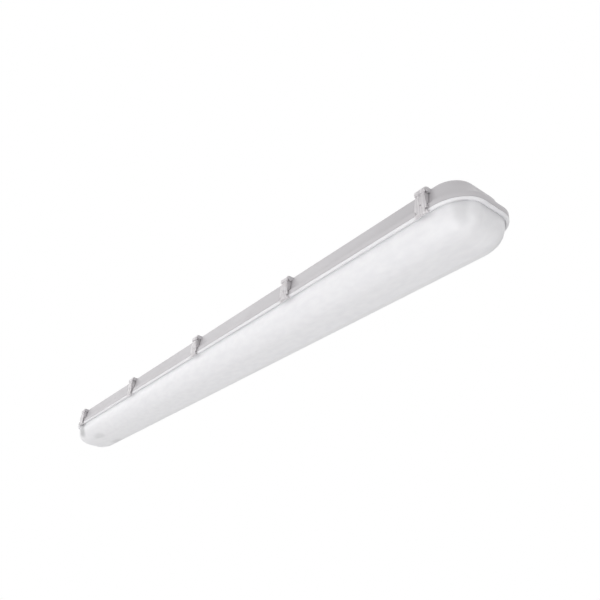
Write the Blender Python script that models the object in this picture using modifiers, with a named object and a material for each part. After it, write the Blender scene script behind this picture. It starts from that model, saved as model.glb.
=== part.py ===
"""Vapor tight ceiling light with two tube lamps, modelled in metres with +Z up.

The origin is on the ceiling face, midway between the two mounting brackets. X runs along the
light, and the cable gland is at its -X end. Heights inside the functions are counted up from
the rim plane, which is the underside of the diffuser's flange.
"""

import math

import bmesh
import bpy
from mathutils import Matrix, Vector

# Overall sizes: the lamps' standard length, and the room past each lamp's end
LAMP_LENGTH = 1.1994
LAMP_END_ROOM = 0.0353
FIXTURE_WIDTH = 0.108
HOUSING_HEIGHT = 0.0418
DIFFUSER_DEPTH = 0.0373
CORNER_ALONG = 0.050
CORNER_ACROSS = 0.036
LEAST_CORNER_SHARE = 0.5
MOUNT_GAP = 0.0056
CLEARANCE = 0.0003
OVERRUN = 0.002
CORNER_STEPS = 6

# Housing
HOUSING_WALL = 0.0022
WALL_STEP = 0.0026
SIDE_TAPER = 0.0025
END_STEP = 0.0046
END_TAPER = 0.0104
BACK_RADIUS = 0.0114
BACK_STEPS = 4
SKIRT_WALL = 0.0015
SKIRT_GAP = 0.0004
SKIRT_CHAMFER = 0.0008
CHANNEL_WIDTH = 0.0052
CHANNEL_DEPTH = 0.0062
CHANNEL_ROOF = 0.0022
INNER_LEG = 0.0016

# Gasket and diffuser
GASKET_THICKNESS = 0.0026
FLANGE_WIDTH = 0.0058
FLANGE_THICKNESS = 0.0026
EDGE_RUN = 0.0023
EDGE_RISE = 0.0017
GROOVE_WIDTH = 0.0014
GROOVE_DEPTH = 0.0014
RIB_WIDTH = 0.0016
DIFFUSER_WALL = 0.0020
DIFFUSER_ROUNDNESS = 2.56
DIFFUSER_FLAT_SHARE = 0.4
DIFFUSER_STEPS = 8

# Clips, and the moulded rods on the housing that they hang on
CLIPS_PER_SIDE = 5
CLIP_END_SPACE = 0.065
ROLL_RADIUS = 0.0043
CLIP_WALL = 0.0018
ROD_PLAY = 0.0004
ROLL_STEPS = 10
ROLL_TURN = math.radians(240)
HINGE_HEIGHT = 0.0325
WALL_CLEARANCE = 0.0010
LIP_HALF = 0.0084
NECK_HALF = 0.0070
SHOULDER_HALF = 0.0075
CLIP_FOOT_HALF = 0.0102
NOTCH_DEPTH = 0.0033
NOTCH_HEIGHT = 0.0034
NOTCH_BASE = 0.0008
FOOT_DEPTH = 0.0030
FOOT_EDGE = 0.0018
BAND_HEIGHT = 0.0050
BAND_RECESS = 0.0008
CLIP_HOLE_RADIUS = 0.0013
CLIP_HOLE_HEIGHT = 0.0110
RIM_CLEARANCE = 0.0009
EAR_THICKNESS = 0.0015
EAR_RADIUS = 0.0032

# Gear tray and its quarter-turn fasteners
TRAY_LEVEL = 0.0050
TRAY_STEEL = 0.0008
TRAY_END_SPACE = 0.047
TRAY_SIDE_GAP = 0.0015
TRAY_SIDE_RUN = 0.0062
TRAY_SIDE_RISE = 0.0080
TRAY_TAB_SIDE_SPACE = 0.021
TRAY_TAB_SPACE = 0.018
FASTENER_END_SPACES = (0.220, 0.318)
FASTENER_HEAD_RADIUS = 0.0090
FASTENER_HEAD = 0.0030
FASTENER_GRIP = 0.0015
FASTENER_GRIP_WIDTH = 0.0030
FASTENER_SHANK = 0.0032
FASTENER_BAR_LENGTH = 0.0124
FASTENER_BAR_WIDTH = 0.0046
FASTENER_BAR_HEIGHT = 0.0028
BOSS_RADIUS = 0.0090
BOSS_WALL = 0.0020
BOSS_PLATE = 0.0020
BOSS_GAP = 0.0004

# Lamps, their caps and lampholders
LAMP_SIDE_SPACE = 0.029
LAMP_DROP = 0.018
TUBE_RADIUS = 0.0127
TUBE_WALL = 0.0008
CAP_SLEEVE = 0.0112
CAP_WALL = 0.0006
CAP_END = 0.0019
PIN_RADIUS = 0.0012
PIN_SPACING = 0.0127
PIN_LENGTH = 0.0071
HOLDER_THICKNESS = 0.0106
HOLDER_RADIUS = 0.0112
HOLDER_GAP = 0.0006
ROTOR_RADIUS = 0.0086
ROTOR_DEPTH = 0.0078
LEG_WIDTH = 0.0100
LEG_THICKNESS = 0.0040
LEG_HEIGHT = 0.0042
BARB = 0.0008
BARB_HEIGHT = 0.0020

# Ballast on the tray
BALLAST_HALF_LENGTH = 0.115
BALLAST_HALF_WIDTH = 0.0150
BALLAST_HEIGHT = 0.0210
BALLAST_COVER_WALL = 0.0008
BALLAST_BASE_END = 0.0132
BALLAST_BASE_STEEL = 0.0010
BALLAST_SCREW_INSET = 0.006
BOARD_THICKNESS = 0.0016
BOARD_STAND = 0.0030
BOARD_PART_HEIGHT = 0.0110
BOARD_PART_SHARES = ((-0.6, 0.12), (-0.1, 0.16), (0.5, 0.1))
CONNECTOR_LENGTH = 0.0115
CONNECTOR_HEIGHT = 0.0120
CONNECTOR_HALF_WIDTH = 0.0125
SCREW_SHANK = 0.0017
SCREW_HEAD_RADIUS = 0.0034
SCREW_HEAD = 0.0022
SCREW_REACH = 0.0022

# Mains terminal block and earth screw
BLOCK_END_SPACE = 0.135
BLOCK_LENGTH = 0.020
BLOCK_HALF_WIDTH = 0.0160
BLOCK_HEIGHT = 0.0140
POLE_SPACING = 0.0096
WIRE_ENTRY_RADIUS = 0.0017
WIRE_ENTRY_DEPTH = 0.0050
WIRE_ENTRY_HEIGHT = 0.0052
BLOCK_HOLE_DEPTH = 0.0035
EARTH_END_SPACE = 0.090
WASHER_RADIUS = 0.0050
WASHER_THICKNESS = 0.0008

# Wires inside the housing
WIRE_RADIUS = 0.0011
WIRE_STEPS = 4
WIRE_LIFT = 0.0026
WIRE_PITCH = 0.0056
WIRE_CLEAR = 0.0026
WIRE_STEP = 0.0038

# Brackets on the ceiling, and the pads on the housing that they grip
BRACKET_END_SPACE = 0.235
BRACKET_HALF_LENGTH = 0.0140
BRACKET_HALF_WIDTH = 0.0300
BRACKET_STEEL = 0.0010
BRACKET_SCREW_OFFSET = 0.0240
BRACKET_HOLE_RADIUS = 0.0026
PAD_HALF_LENGTH = 0.0200
PAD_STEM_HALF = 0.0115
PAD_STEM = 0.0019
PAD_HEAD_HALF = 0.0145
PAD_HEAD = 0.0018
BRACKET_PLAY = 0.0005

# Cable gland at the -X end
GLAND_BOSS_RADIUS = 0.0135
GLAND_BOSS_SINK = 0.0009
GLAND_BOSS_INSET = 0.0050
GLAND_BOSS_LENGTH = 0.0170
GLAND_PANEL = 0.0028
GLAND_POCKET_RADIUS = 0.0115
GLAND_POCKET_LENGTH = 0.026
GLAND_THREAD_RADIUS = 0.0080
GLAND_BORE_RADIUS = 0.0056
GLAND_FLANGE_RADIUS = 0.0121
GLAND_FLANGE = 0.0040
GLAND_WASHER = 0.0015
GLAND_OUTER_THREAD = 0.0080
GLAND_INNER_THREAD = 0.0080
GLAND_SEAL_RADIUS = 0.0033
GLAND_SEAL_LENGTH = 0.0075
LOCKNUT_RADIUS = 0.0106
LOCKNUT_LENGTH = 0.0035
DOME_NUT_RADIUS = 0.0115
DOME_NUT_HEX = 0.0096
DOME_NUT_DOME = 0.0040
DOME_NUT_TIP = 0.0075
DOME_NUT_HOLE = 0.0046
ROUND_SIDES = 16

HALF_LENGTH = LAMP_LENGTH / 2 + LAMP_END_ROOM
HALF_WIDTH = FIXTURE_WIDTH / 2
RIM_Z = -(MOUNT_GAP + HOUSING_HEIGHT)
CLIP_SPACING = (HALF_LENGTH - CLIP_END_SPACE) * 2 / (CLIPS_PER_SIDE - 1)
ROD_RADIUS = ROLL_RADIUS - CLIP_WALL - ROD_PLAY
LAMP_SPACING = (HALF_WIDTH - LAMP_SIDE_SPACE) * 2
TRAY_TAB_HALF = HALF_WIDTH - TRAY_TAB_SIDE_SPACE
TRAY_HALF_LENGTH = HALF_LENGTH - TRAY_END_SPACE
TRAY_TAB_END = HALF_LENGTH - TRAY_TAB_SPACE
FASTENER_OUTER, FASTENER_INNER = [HALF_LENGTH - space for space in FASTENER_END_SPACES]
FASTENER_PLACES = (-FASTENER_OUTER, -FASTENER_INNER, FASTENER_INNER, FASTENER_OUTER)
BLOCK_PLACE = -(HALF_LENGTH - BLOCK_END_SPACE)
EARTH_PLACE = (-(HALF_LENGTH - EARTH_END_SPACE), 0)
BRACKET_PLACE = HALF_LENGTH - BRACKET_END_SPACE
BALLAST_BASE_HALF = BALLAST_HALF_LENGTH + CLEARANCE + CONNECTOR_LENGTH + BALLAST_BASE_END
BALLAST_SCREW_PLACE = BALLAST_BASE_HALF - BALLAST_SCREW_INSET
SKIRT_BOTTOM = FLANGE_THICKNESS + SKIRT_GAP
CHANNEL_TOP = SKIRT_BOTTOM + CHANNEL_DEPTH
SKIRT_TOP = CHANNEL_TOP + CHANNEL_ROOF
LEG_OUTER = SKIRT_WALL + CHANNEL_WIDTH
LEG_INNER = LEG_OUTER + INNER_LEG
GASKET_TOP = CHANNEL_TOP - CLEARANCE
GASKET_BOTTOM = GASKET_TOP - GASKET_THICKNESS
BACK_START = HOUSING_HEIGHT - BACK_RADIUS
TRAY_TOP = TRAY_LEVEL + TRAY_STEEL
FLOOR_TOP = TRAY_TOP + CLEARANCE
BOSS_BOTTOM = TRAY_TOP + BOSS_GAP
LAMP_HEIGHT = TRAY_LEVEL - LAMP_DROP
HINGE_OUT = HALF_WIDTH - WALL_STEP - SIDE_TAPER + ROLL_RADIUS + WALL_CLEARANCE
GLAND_FACE = -(HALF_LENGTH - GLAND_BOSS_INSET)
GLAND_HEIGHT = SKIRT_TOP + GLAND_BOSS_RADIUS - GLAND_BOSS_SINK
SLOT_WIDTH = PIN_RADIUS * 2 + CLEARANCE * 2

ALONG_X = Matrix(((0, 0, 1, 0), (1, 0, 0, 0), (0, 1, 0, 0), (0, 0, 0, 1)))
ALONG_Y = Matrix(((1, 0, 0, 0), (0, 0, 1, 0), (0, 1, 0, 0), (0, 0, 0, 1)))

for old in list(bpy.data.objects):
    bpy.data.objects.remove(old, do_unlink=True)

parts = bpy.data.collections.new("vapor_tight_light")
cutters = bpy.data.collections.new("cutters")
bpy.context.scene.collection.children.link(parts)
bpy.context.scene.collection.children.link(cutters)


def finish_of(name, colour, roughness, metallic=0.0, transmission=0.0):
    """A Principled material in the piece's own colour."""
    material = bpy.data.materials.new(name)
    material.use_nodes = True
    shader = material.node_tree.nodes["Principled BSDF"]
    shader.inputs["Base Color"].default_value = (*colour, 1.0)
    shader.inputs["Roughness"].default_value = roughness
    shader.inputs["Metallic"].default_value = metallic
    shader.inputs["Transmission Weight"].default_value = transmission
    return material


def object_from(name, bm):
    """A mesh object in the parts collection, its faces turned outwards."""
    bmesh.ops.recalc_face_normals(bm, faces=bm.faces)
    mesh = bpy.data.meshes.new(name)
    bm.to_mesh(mesh)
    bm.free()
    mesh.shade_smooth()
    mesh.set_sharp_from_angle(angle=math.radians(35))
    piece = bpy.data.objects.new(name, mesh)
    parts.objects.link(piece)
    return piece


def box(name, low, high):
    bm = bmesh.new()
    size = [b - a for a, b in zip(low, high)]
    middle = [(a + b) / 2 for a, b in zip(low, high)]
    place = Matrix.Translation(middle) @ Matrix.Diagonal((*size, 1))
    bmesh.ops.create_cube(bm, size=1, matrix=place)
    return object_from(name, bm)


def cylinder(name, radius, start, end, sides=ROUND_SIDES, turn=0.0):
    """A closed cylinder from one point to another, turned about its own axis."""
    axis = Vector(end) - Vector(start)
    aim = axis.to_track_quat("Z", "Y").to_matrix().to_4x4()
    place = Matrix.Translation((Vector(start) + Vector(end)) / 2) @ aim
    place = place @ Matrix.Rotation(turn, 4, "Z")
    bm = bmesh.new()
    bmesh.ops.create_cone(
        bm, cap_ends=True, segments=sides, radius1=radius, radius2=radius,
        depth=axis.length, matrix=place)
    return object_from(name, bm)


def mesh_of(piece):
    """The piece's mesh with its modifiers, or its curve, worked out."""
    bpy.context.view_layer.update()
    graph = bpy.context.evaluated_depsgraph_get()
    return bpy.data.meshes.new_from_object(piece.evaluated_get(graph))


def prism(name, outline, half_depth, plane, middle=0.0):
    """A flat closed outline as a filled 2D curve, extruded both ways and made a mesh."""
    curve = bpy.data.curves.new(name + "_outline", "CURVE")
    curve.dimensions = "2D"
    curve.fill_mode = "BOTH"
    curve.extrude = half_depth
    spline = curve.splines.new("POLY")
    spline.points.add(len(outline) - 1)
    for point, (u, v) in zip(spline.points, outline):
        point.co = (u, v, 0, 1)
    spline.use_cyclic_u = True
    flat = bpy.data.objects.new(name + "_outline", curve)
    parts.objects.link(flat)
    bm = bmesh.new()
    bm.from_mesh(mesh_of(flat))
    bpy.data.objects.remove(flat)
    bmesh.ops.remove_doubles(bm, verts=bm.verts, dist=CLEARANCE / 100)
    halves = [f for f in bm.faces if len(f.verts) == 3]
    caps = [[f for f in halves if f.calc_center_median().z * side > 0] for side in (-1, 1)]
    for cap in caps:
        bmesh.ops.dissolve_faces(bm, faces=cap)
    bmesh.ops.transform(bm, verts=bm.verts, matrix=plane @ Matrix.Translation((0, 0, middle)))
    return object_from(name, bm)


def turned(name, profile, sides=ROUND_SIDES, ring=False):
    """A profile of (radius, height) points turned round the object's own Z axis."""
    mesh = bpy.data.meshes.new(name)
    last = len(profile)
    edges = [(i, i + 1) for i in range(last - 1)]
    if ring:
        edges.append((last - 1, 0))
    mesh.from_pydata([(radius, 0, height) for radius, height in profile], edges, [])
    piece = bpy.data.objects.new(name, mesh)
    parts.objects.link(piece)
    screw = piece.modifiers.new("turn", "SCREW")
    screw.steps = sides
    screw.render_steps = sides
    screw.use_merge_vertices = True
    screw.merge_threshold = CLEARANCE / 100
    screw.use_smooth_shade = True
    return piece


def boolean(target, tool, operation="DIFFERENCE"):
    """Cuts the tool from the target or joins it, and puts the tool with the cutters."""
    modifier = target.modifiers.new(tool.name, "BOOLEAN")
    modifier.operation = operation
    modifier.solver = "EXACT"
    modifier.object = tool
    tool.hide_render = True
    tool.display_type = "WIRE"
    parts.objects.unlink(tool)
    cutters.objects.link(tool)


def place(piece, location, turn=(0, 0, 0)):
    piece.location = location
    piece.rotation_euler = turn


def outline_at(across, along):
    """The fixture's rounded plan, drawn in by one inset across it and one along it."""
    half_w = HALF_WIDTH - across
    half_l = HALF_LENGTH - along
    radius_w = max(CORNER_ACROSS - across, LEAST_CORNER_SHARE * half_w)
    radius_l = max(CORNER_ALONG - along, LEAST_CORNER_SHARE * half_w)
    points = []
    for side_x, side_y, start in ((1, 1, 0), (-1, 1, 90), (-1, -1, 180), (1, -1, 270)):
        for step in range(CORNER_STEPS + 1):
            angle = math.radians(start + 90 * step / CORNER_STEPS)
            points.append((
                side_x * (half_l - radius_l) + radius_l * math.cos(angle),
                side_y * (half_w - radius_w) + radius_w * math.sin(angle)))
    return points


def lofted(name, levels, loop=False):
    """A closed skin through plan outlines, each given as (inset across, inset along, height)."""
    bm = bmesh.new()
    rings = []
    for across, along, height in levels:
        rings.append([bm.verts.new((x, y, height)) for x, y in outline_at(across, along)])
    pairs = list(zip(rings, rings[1:]))
    if loop:
        pairs.append((rings[-1], rings[0]))
    else:
        bm.faces.new(rings[0])
        bm.faces.new(rings[-1])
    for lower, upper in pairs:
        for i, j in zip(range(len(lower)), [*range(1, len(lower)), 0]):
            bm.faces.new((lower[i], lower[j], upper[j], upper[i]))
    piece = object_from(name, bm)
    piece.location.z = RIM_Z
    return piece


def back_levels(wall):
    """The rounded edge of the housing's back, drawn in by the wall for its inner face."""
    side = WALL_STEP + SIDE_TAPER + BACK_RADIUS
    end = END_STEP + END_TAPER + BACK_RADIUS
    radius = BACK_RADIUS - wall
    levels = []
    for step in range(BACK_STEPS + 1):
        angle = math.radians(90 * step / BACK_STEPS)
        out = radius * math.cos(angle)
        levels.append((side - out, end - out, BACK_START + radius * math.sin(angle)))
    return levels


def make_housing(material):
    """One moulded trough: back, walls, gasket channel, posts, pads, rods and gland boss."""
    inner = list(reversed(back_levels(HOUSING_WALL)))
    channel = [
        (WALL_STEP + HOUSING_WALL, END_STEP + HOUSING_WALL, SKIRT_TOP),
        (LEG_INNER, LEG_INNER, SKIRT_TOP),
        (LEG_INNER, LEG_INNER, SKIRT_BOTTOM),
        (LEG_OUTER, LEG_OUTER, SKIRT_BOTTOM),
        (LEG_OUTER, LEG_OUTER, CHANNEL_TOP),
        (SKIRT_WALL, SKIRT_WALL, CHANNEL_TOP),
        (SKIRT_WALL, SKIRT_WALL, SKIRT_BOTTOM),
        (0, 0, SKIRT_BOTTOM),
        (0, 0, SKIRT_TOP - SKIRT_CHAMFER),
        (SKIRT_CHAMFER, SKIRT_CHAMFER, SKIRT_TOP),
        (WALL_STEP, END_STEP, SKIRT_TOP),
    ]
    housing = lofted("housing", inner + channel + back_levels(0))
    housing.data.materials.append(material)
    for index, x in enumerate(FASTENER_PLACES):
        add_post(housing, index + 1, x)
    for side, x in (("left", -BRACKET_PLACE), ("right", BRACKET_PLACE)):
        add_pad(housing, side, x)
    add_hinges(housing)
    add_gland_boss(housing)
    return housing


def add_post(housing, number, x):
    """A hollow post under the back, with a slotted plate that a fastener's bar locks behind."""
    top = HOUSING_HEIGHT - HOUSING_WALL / 2
    low = RIM_Z + BOSS_BOTTOM
    post = cylinder(f"post_{number}", BOSS_RADIUS, (x, 0, low), (x, 0, RIM_Z + top))
    hollow = cylinder(
        f"post_hollow_{number}", BOSS_RADIUS - BOSS_WALL, (x, 0, low + BOSS_PLATE),
        (x, 0, RIM_Z + HOUSING_HEIGHT - HOUSING_WALL))
    hole = cylinder(
        f"post_hole_{number}", FASTENER_SHANK + BOSS_GAP, (x, 0, low - OVERRUN),
        (x, 0, low + BOSS_PLATE + OVERRUN))
    half_w = FASTENER_BAR_WIDTH / 2 + BOSS_GAP
    half_l = FASTENER_BAR_LENGTH / 2 + BOSS_GAP
    slot = box(
        f"post_slot_{number}", (x - half_w, -half_l, low - OVERRUN),
        (x + half_w, half_l, low + BOSS_PLATE + OVERRUN))
    boolean(housing, post, "UNION")
    for tool in (hollow, hole, slot):
        boolean(housing, tool)


def add_pad(housing, side, x):
    """A T-shaped pad on the back that the ceiling bracket's lips grip."""
    back = -MOUNT_GAP
    sink = HOUSING_WALL / 2
    outline = [
        (PAD_STEM_HALF, back - sink), (PAD_STEM_HALF, back + PAD_STEM),
        (PAD_HEAD_HALF, back + PAD_STEM), (PAD_HEAD_HALF, back + PAD_STEM + PAD_HEAD)]
    outline += [(-y, z) for y, z in reversed(outline)]
    boolean(housing, prism(f"pad_{side}", outline, PAD_HALF_LENGTH, ALONG_X, x), "UNION")


def clip_places():
    """(number, x, side) of every clip, five along each side."""
    found = []
    for side in (-1, 1):
        for index in range(CLIPS_PER_SIDE):
            x = (index - (CLIPS_PER_SIDE - 1) / 2) * CLIP_SPACING
            found.append((len(found) + 1, x, side))
    return found


def hinge_ear(name, x):
    """One ear: a round end on the hinge axis, and a web that runs back into the wall."""
    inner = HINGE_OUT - (HALF_WIDTH - WALL_STEP - SIDE_TAPER) + HOUSING_WALL / 2
    outline = [(-inner, -EAR_RADIUS), (-inner, EAR_RADIUS)]
    for step in range(ROUND_SIDES // 2 + 1):
        angle = math.radians(90 - 180 * step / (ROUND_SIDES // 2))
        outline.append((EAR_RADIUS * math.cos(angle), EAR_RADIUS * math.sin(angle)))
    return prism(name, outline, EAR_THICKNESS / 2, ALONG_X, x)


def add_hinges(housing):
    """A moulded rod between two ears at each clip, all joined into one tool."""
    ear_x = LIP_HALF + CLEARANCE + EAR_THICKNESS / 2
    rod = cylinder("hinge_rod", ROD_RADIUS, (-ear_x, 0, 0), (ear_x, 0, 0), ROUND_SIDES)
    boolean(rod, hinge_ear("hinge_ear_a", -ear_x), "UNION")
    boolean(rod, hinge_ear("hinge_ear_b", ear_x), "UNION")
    unit = mesh_of(rod)
    parts.objects.unlink(rod)
    cutters.objects.link(rod)
    rod.hide_render = True
    rod.display_type = "WIRE"
    bm = bmesh.new()
    for _, x, side in clip_places():
        before = len(bm.verts)
        bm.from_mesh(unit)
        bm.verts.ensure_lookup_table()
        turn = Matrix.Rotation(0 if side > 0 else math.pi, 4, "Z")
        shift = Matrix.Translation((x, side * HINGE_OUT, RIM_Z + HINGE_HEIGHT))
        bmesh.ops.transform(bm, verts=bm.verts[before:], matrix=shift @ turn)
    boolean(housing, object_from("hinges", bm), "UNION")


def add_gland_boss(housing):
    """A flat-faced round boss on the sloping end wall, hollow behind a panel with one hole."""
    z = RIM_Z + GLAND_HEIGHT
    face = GLAND_FACE
    boss = cylinder(
        "gland_boss", GLAND_BOSS_RADIUS, (face, 0, z), (face + GLAND_BOSS_LENGTH, 0, z))
    pocket = cylinder(
        "gland_pocket", GLAND_POCKET_RADIUS, (face + GLAND_PANEL, 0, z),
        (face + GLAND_POCKET_LENGTH, 0, z))
    hole = cylinder(
        "gland_hole", GLAND_THREAD_RADIUS + CLEARANCE, (face - OVERRUN, 0, z),
        (face + GLAND_PANEL + OVERRUN, 0, z))
    boolean(housing, boss, "UNION")
    boolean(housing, pocket)
    boolean(housing, hole)


def make_gasket(material):
    """A foam ring that fills the top of the housing's channel."""
    outer = SKIRT_WALL + CLEARANCE
    inner = LEG_OUTER - CLEARANCE
    gasket = lofted("gasket", [
        (outer, outer, GASKET_BOTTOM), (outer, outer, GASKET_TOP),
        (inner, inner, GASKET_TOP), (inner, inner, GASKET_BOTTOM)], loop=True)
    gasket.data.materials.append(material)
    return gasket


def bowl_levels(inset, depth):
    """The diffuser's bowl from its rim down to the flat along its bottom, as a superellipse."""
    power = 2 / DIFFUSER_ROUNDNESS
    last = math.acos(DIFFUSER_FLAT_SHARE ** (1 / power))
    half = HALF_WIDTH - inset
    levels = []
    for step in range(DIFFUSER_STEPS + 1):
        angle = last * step / DIFFUSER_STEPS
        drawn_in = inset + half * (1 - math.cos(angle) ** power)
        levels.append((drawn_in, drawn_in, -depth * math.sin(angle) ** power))
    return levels


def make_diffuser(material):
    """The moulded bowl with its flange, the rib that presses the gasket and a shadow groove."""
    inner = FLANGE_WIDTH + DIFFUSER_WALL
    rib_out = SKIRT_WALL + (CHANNEL_WIDTH - RIB_WIDTH) / 2
    rib_in = rib_out + RIB_WIDTH
    rib_top = GASKET_BOTTOM - CLEARANCE
    groove = FLANGE_WIDTH - GROOVE_WIDTH
    section = [
        (inner, FLANGE_THICKNESS), (rib_in, FLANGE_THICKNESS), (rib_in, rib_top),
        (rib_out, rib_top), (rib_out, FLANGE_THICKNESS), (0, FLANGE_THICKNESS),
        (0, EDGE_RISE), (EDGE_RUN, 0), (groove, 0), (groove, GROOVE_DEPTH),
        (FLANGE_WIDTH, GROOVE_DEPTH)]
    rim = [(inset, inset, height) for inset, height in section]
    inside = list(reversed(bowl_levels(inner, DIFFUSER_DEPTH - DIFFUSER_WALL)))
    diffuser = lofted("diffuser", inside + rim + bowl_levels(FLANGE_WIDTH, DIFFUSER_DEPTH))
    diffuser.data.materials.append(material)
    return diffuser


def clip_section():
    """The clip seen from its end, as (out, up) points from the hinge axis."""
    inner_radius = ROLL_RADIUS - CLIP_WALL
    rim_in = HALF_WIDTH + RIM_CLEARANCE - HINGE_OUT
    rim_out = rim_in + CLIP_WALL
    slope = EDGE_RISE / EDGE_RUN
    gap_down = CLEARANCE * math.hypot(EDGE_RISE, EDGE_RUN) / EDGE_RUN
    corner_out = HALF_WIDTH - HINGE_OUT
    tip = corner_out - EDGE_RUN + CLEARANCE

    def nose(out):
        """Height of the foot's upper face, held off the flange's bevelled edge."""
        return EDGE_RISE - (corner_out - out) * slope - gap_down - HINGE_HEIGHT

    band_top = -ROLL_RADIUS - CLEARANCE
    band_low = band_top - BAND_HEIGHT
    points = [
        (ROLL_RADIUS, 0), (ROLL_RADIUS, band_top), (ROLL_RADIUS - BAND_RECESS, band_top),
        (ROLL_RADIUS - BAND_RECESS, band_low), (ROLL_RADIUS, band_low),
        (rim_out, -HINGE_HEIGHT), (rim_out, FOOT_EDGE - FOOT_DEPTH - HINGE_HEIGHT),
        (rim_out - FOOT_EDGE, -FOOT_DEPTH - HINGE_HEIGHT),
        (tip + FOOT_EDGE, -FOOT_DEPTH - HINGE_HEIGHT),
        (tip, nose(tip) - FOOT_EDGE / 2), (tip, nose(tip)), (rim_in, nose(rim_in))]
    points += [(inner_radius, band_low), (inner_radius, band_top)]
    for radius, turns in ((inner_radius, range(ROLL_STEPS + 1)),
                          (ROLL_RADIUS, range(ROLL_STEPS, 0, -1))):
        for step in turns:
            angle = ROLL_TURN * step / ROLL_STEPS
            points.append((radius * math.cos(angle), radius * math.sin(angle)))
    return points


def clip_front():
    """The clip seen from in front, as (along, up) points from the hinge axis."""
    lip_low = -ROLL_RADIUS
    neck_low = lip_low - CLEARANCE - BAND_HEIGHT
    notch_low = NOTCH_BASE - HINGE_HEIGHT
    notch_top = notch_low + NOTCH_HEIGHT
    notch_in = CLIP_FOOT_HALF - NOTCH_DEPTH
    foot_low = -HINGE_HEIGHT - FOOT_DEPTH - OVERRUN
    right = [
        (LIP_HALF, ROLL_RADIUS + OVERRUN), (LIP_HALF, lip_low), (NECK_HALF, lip_low - CLEARANCE),
        (NECK_HALF, neck_low), (SHOULDER_HALF, neck_low - CLEARANCE),
        (CLIP_FOOT_HALF, notch_top), (notch_in, notch_top), (notch_in, notch_low),
        (CLIP_FOOT_HALF, notch_low), (CLIP_FOOT_HALF, foot_low)]
    return right + [(-x, z) for x, z in reversed(right)]


def make_clips(material):
    """Ten snap clips: a roll that hangs on the housing's rod, and a foot under the rim."""
    depth = ROLL_RADIUS + OVERRUN * 2
    blank = prism("clip_blank", clip_section(), CLIP_FOOT_HALF + OVERRUN, ALONG_X)
    boolean(blank, prism("clip_front", clip_front(), depth, ALONG_Y), "INTERSECT")
    hole_z = CLIP_HOLE_HEIGHT - HINGE_HEIGHT
    hole = cylinder("clip_hole", CLIP_HOLE_RADIUS, (0, 0, hole_z), (0, depth, hole_z), 12)
    boolean(blank, hole)
    mesh = mesh_of(blank)
    parts.objects.unlink(blank)
    cutters.objects.link(blank)
    blank.hide_render = True
    blank.display_type = "WIRE"
    mesh.materials.append(material)
    clips = []
    for number, x, side in clip_places():
        clip = bpy.data.objects.new(f"clip_{number:02d}", mesh)
        parts.objects.link(clip)
        turn = 0 if side > 0 else math.pi
        place(clip, (x, side * HINGE_OUT, RIM_Z + HINGE_HEIGHT), (0, 0, turn))
        clips.append(clip)
    return clips


def make_tray(material):
    """The white gear tray: a folded pan with a tab at each end for the lampholders."""
    half = HALF_WIDTH - LEG_INNER - TRAY_SIDE_GAP
    flat = half - TRAY_SIDE_RUN
    section = [(-half, TRAY_SIDE_RISE), (-flat, 0), (flat, 0), (half, TRAY_SIDE_RISE)]
    bm = bmesh.new()
    ends = []
    for x in (-TRAY_HALF_LENGTH, TRAY_HALF_LENGTH):
        ends.append([bm.verts.new((x, y, z)) for y, z in section])
    for i in range(len(section) - 1):
        bm.faces.new((ends[0][i], ends[1][i], ends[1][i + 1], ends[0][i + 1]))
    tray = object_from("gear_tray", bm)
    tray.location.z = RIM_Z + TRAY_LEVEL
    tray.data.materials.append(material)
    steel = tray.modifiers.new("steel", "SOLIDIFY")
    steel.thickness = TRAY_STEEL
    steel.offset = 1 if tray.data.polygons[1].normal.z > 0 else -1
    steel.use_even_offset = True
    low = RIM_Z + TRAY_LEVEL
    high = RIM_Z + TRAY_TOP
    for name, end in (("left", -1), ("right", 1)):
        xs = sorted((end * (TRAY_HALF_LENGTH - OVERRUN), end * TRAY_TAB_END))
        tab = box(
            f"tray_tab_{name}", (xs[0], -TRAY_TAB_HALF, low), (xs[1], TRAY_TAB_HALF, high))
        boolean(tray, tab, "UNION")
    under = low - OVERRUN
    over = high + OVERRUN
    for number, x in enumerate(FASTENER_PLACES):
        hole = cylinder(
            f"tray_hole_{number + 1}", FASTENER_SHANK + BOSS_GAP, (x, 0, under), (x, 0, over))
        boolean(tray, hole)
    for name, end, y in holder_places():
        x = end * (LAMP_LENGTH / 2 + HOLDER_GAP + HOLDER_THICKNESS / 2)
        half_x = LEG_THICKNESS / 2 + CLEARANCE
        half_y = LEG_WIDTH / 2 + CLEARANCE
        slot = box(
            f"tray_slot_{name}", (x - half_x, y - half_y, under), (x + half_x, y + half_y, over))
        boolean(tray, slot)
    for name, x, y in screw_places():
        hole = cylinder(f"tray_screw_{name}", SCREW_SHANK + CLEARANCE, (x, y, under), (x, y, over))
        boolean(tray, hole)
    return tray


def holder_places():
    """(name, end, y) of every lampholder."""
    half = LAMP_SPACING / 2
    return [
        ("front_left", -1, -half), ("front_right", 1, -half),
        ("rear_left", -1, half), ("rear_right", 1, half)]


def screw_places():
    """(name, x, y) of every screw that goes through the tray."""
    return [
        ("ballast_left", -BALLAST_SCREW_PLACE, 0), ("ballast_right", BALLAST_SCREW_PLACE, 0),
        ("terminal", BLOCK_PLACE, POLE_SPACING / 2), ("earth", *EARTH_PLACE)]


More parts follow.
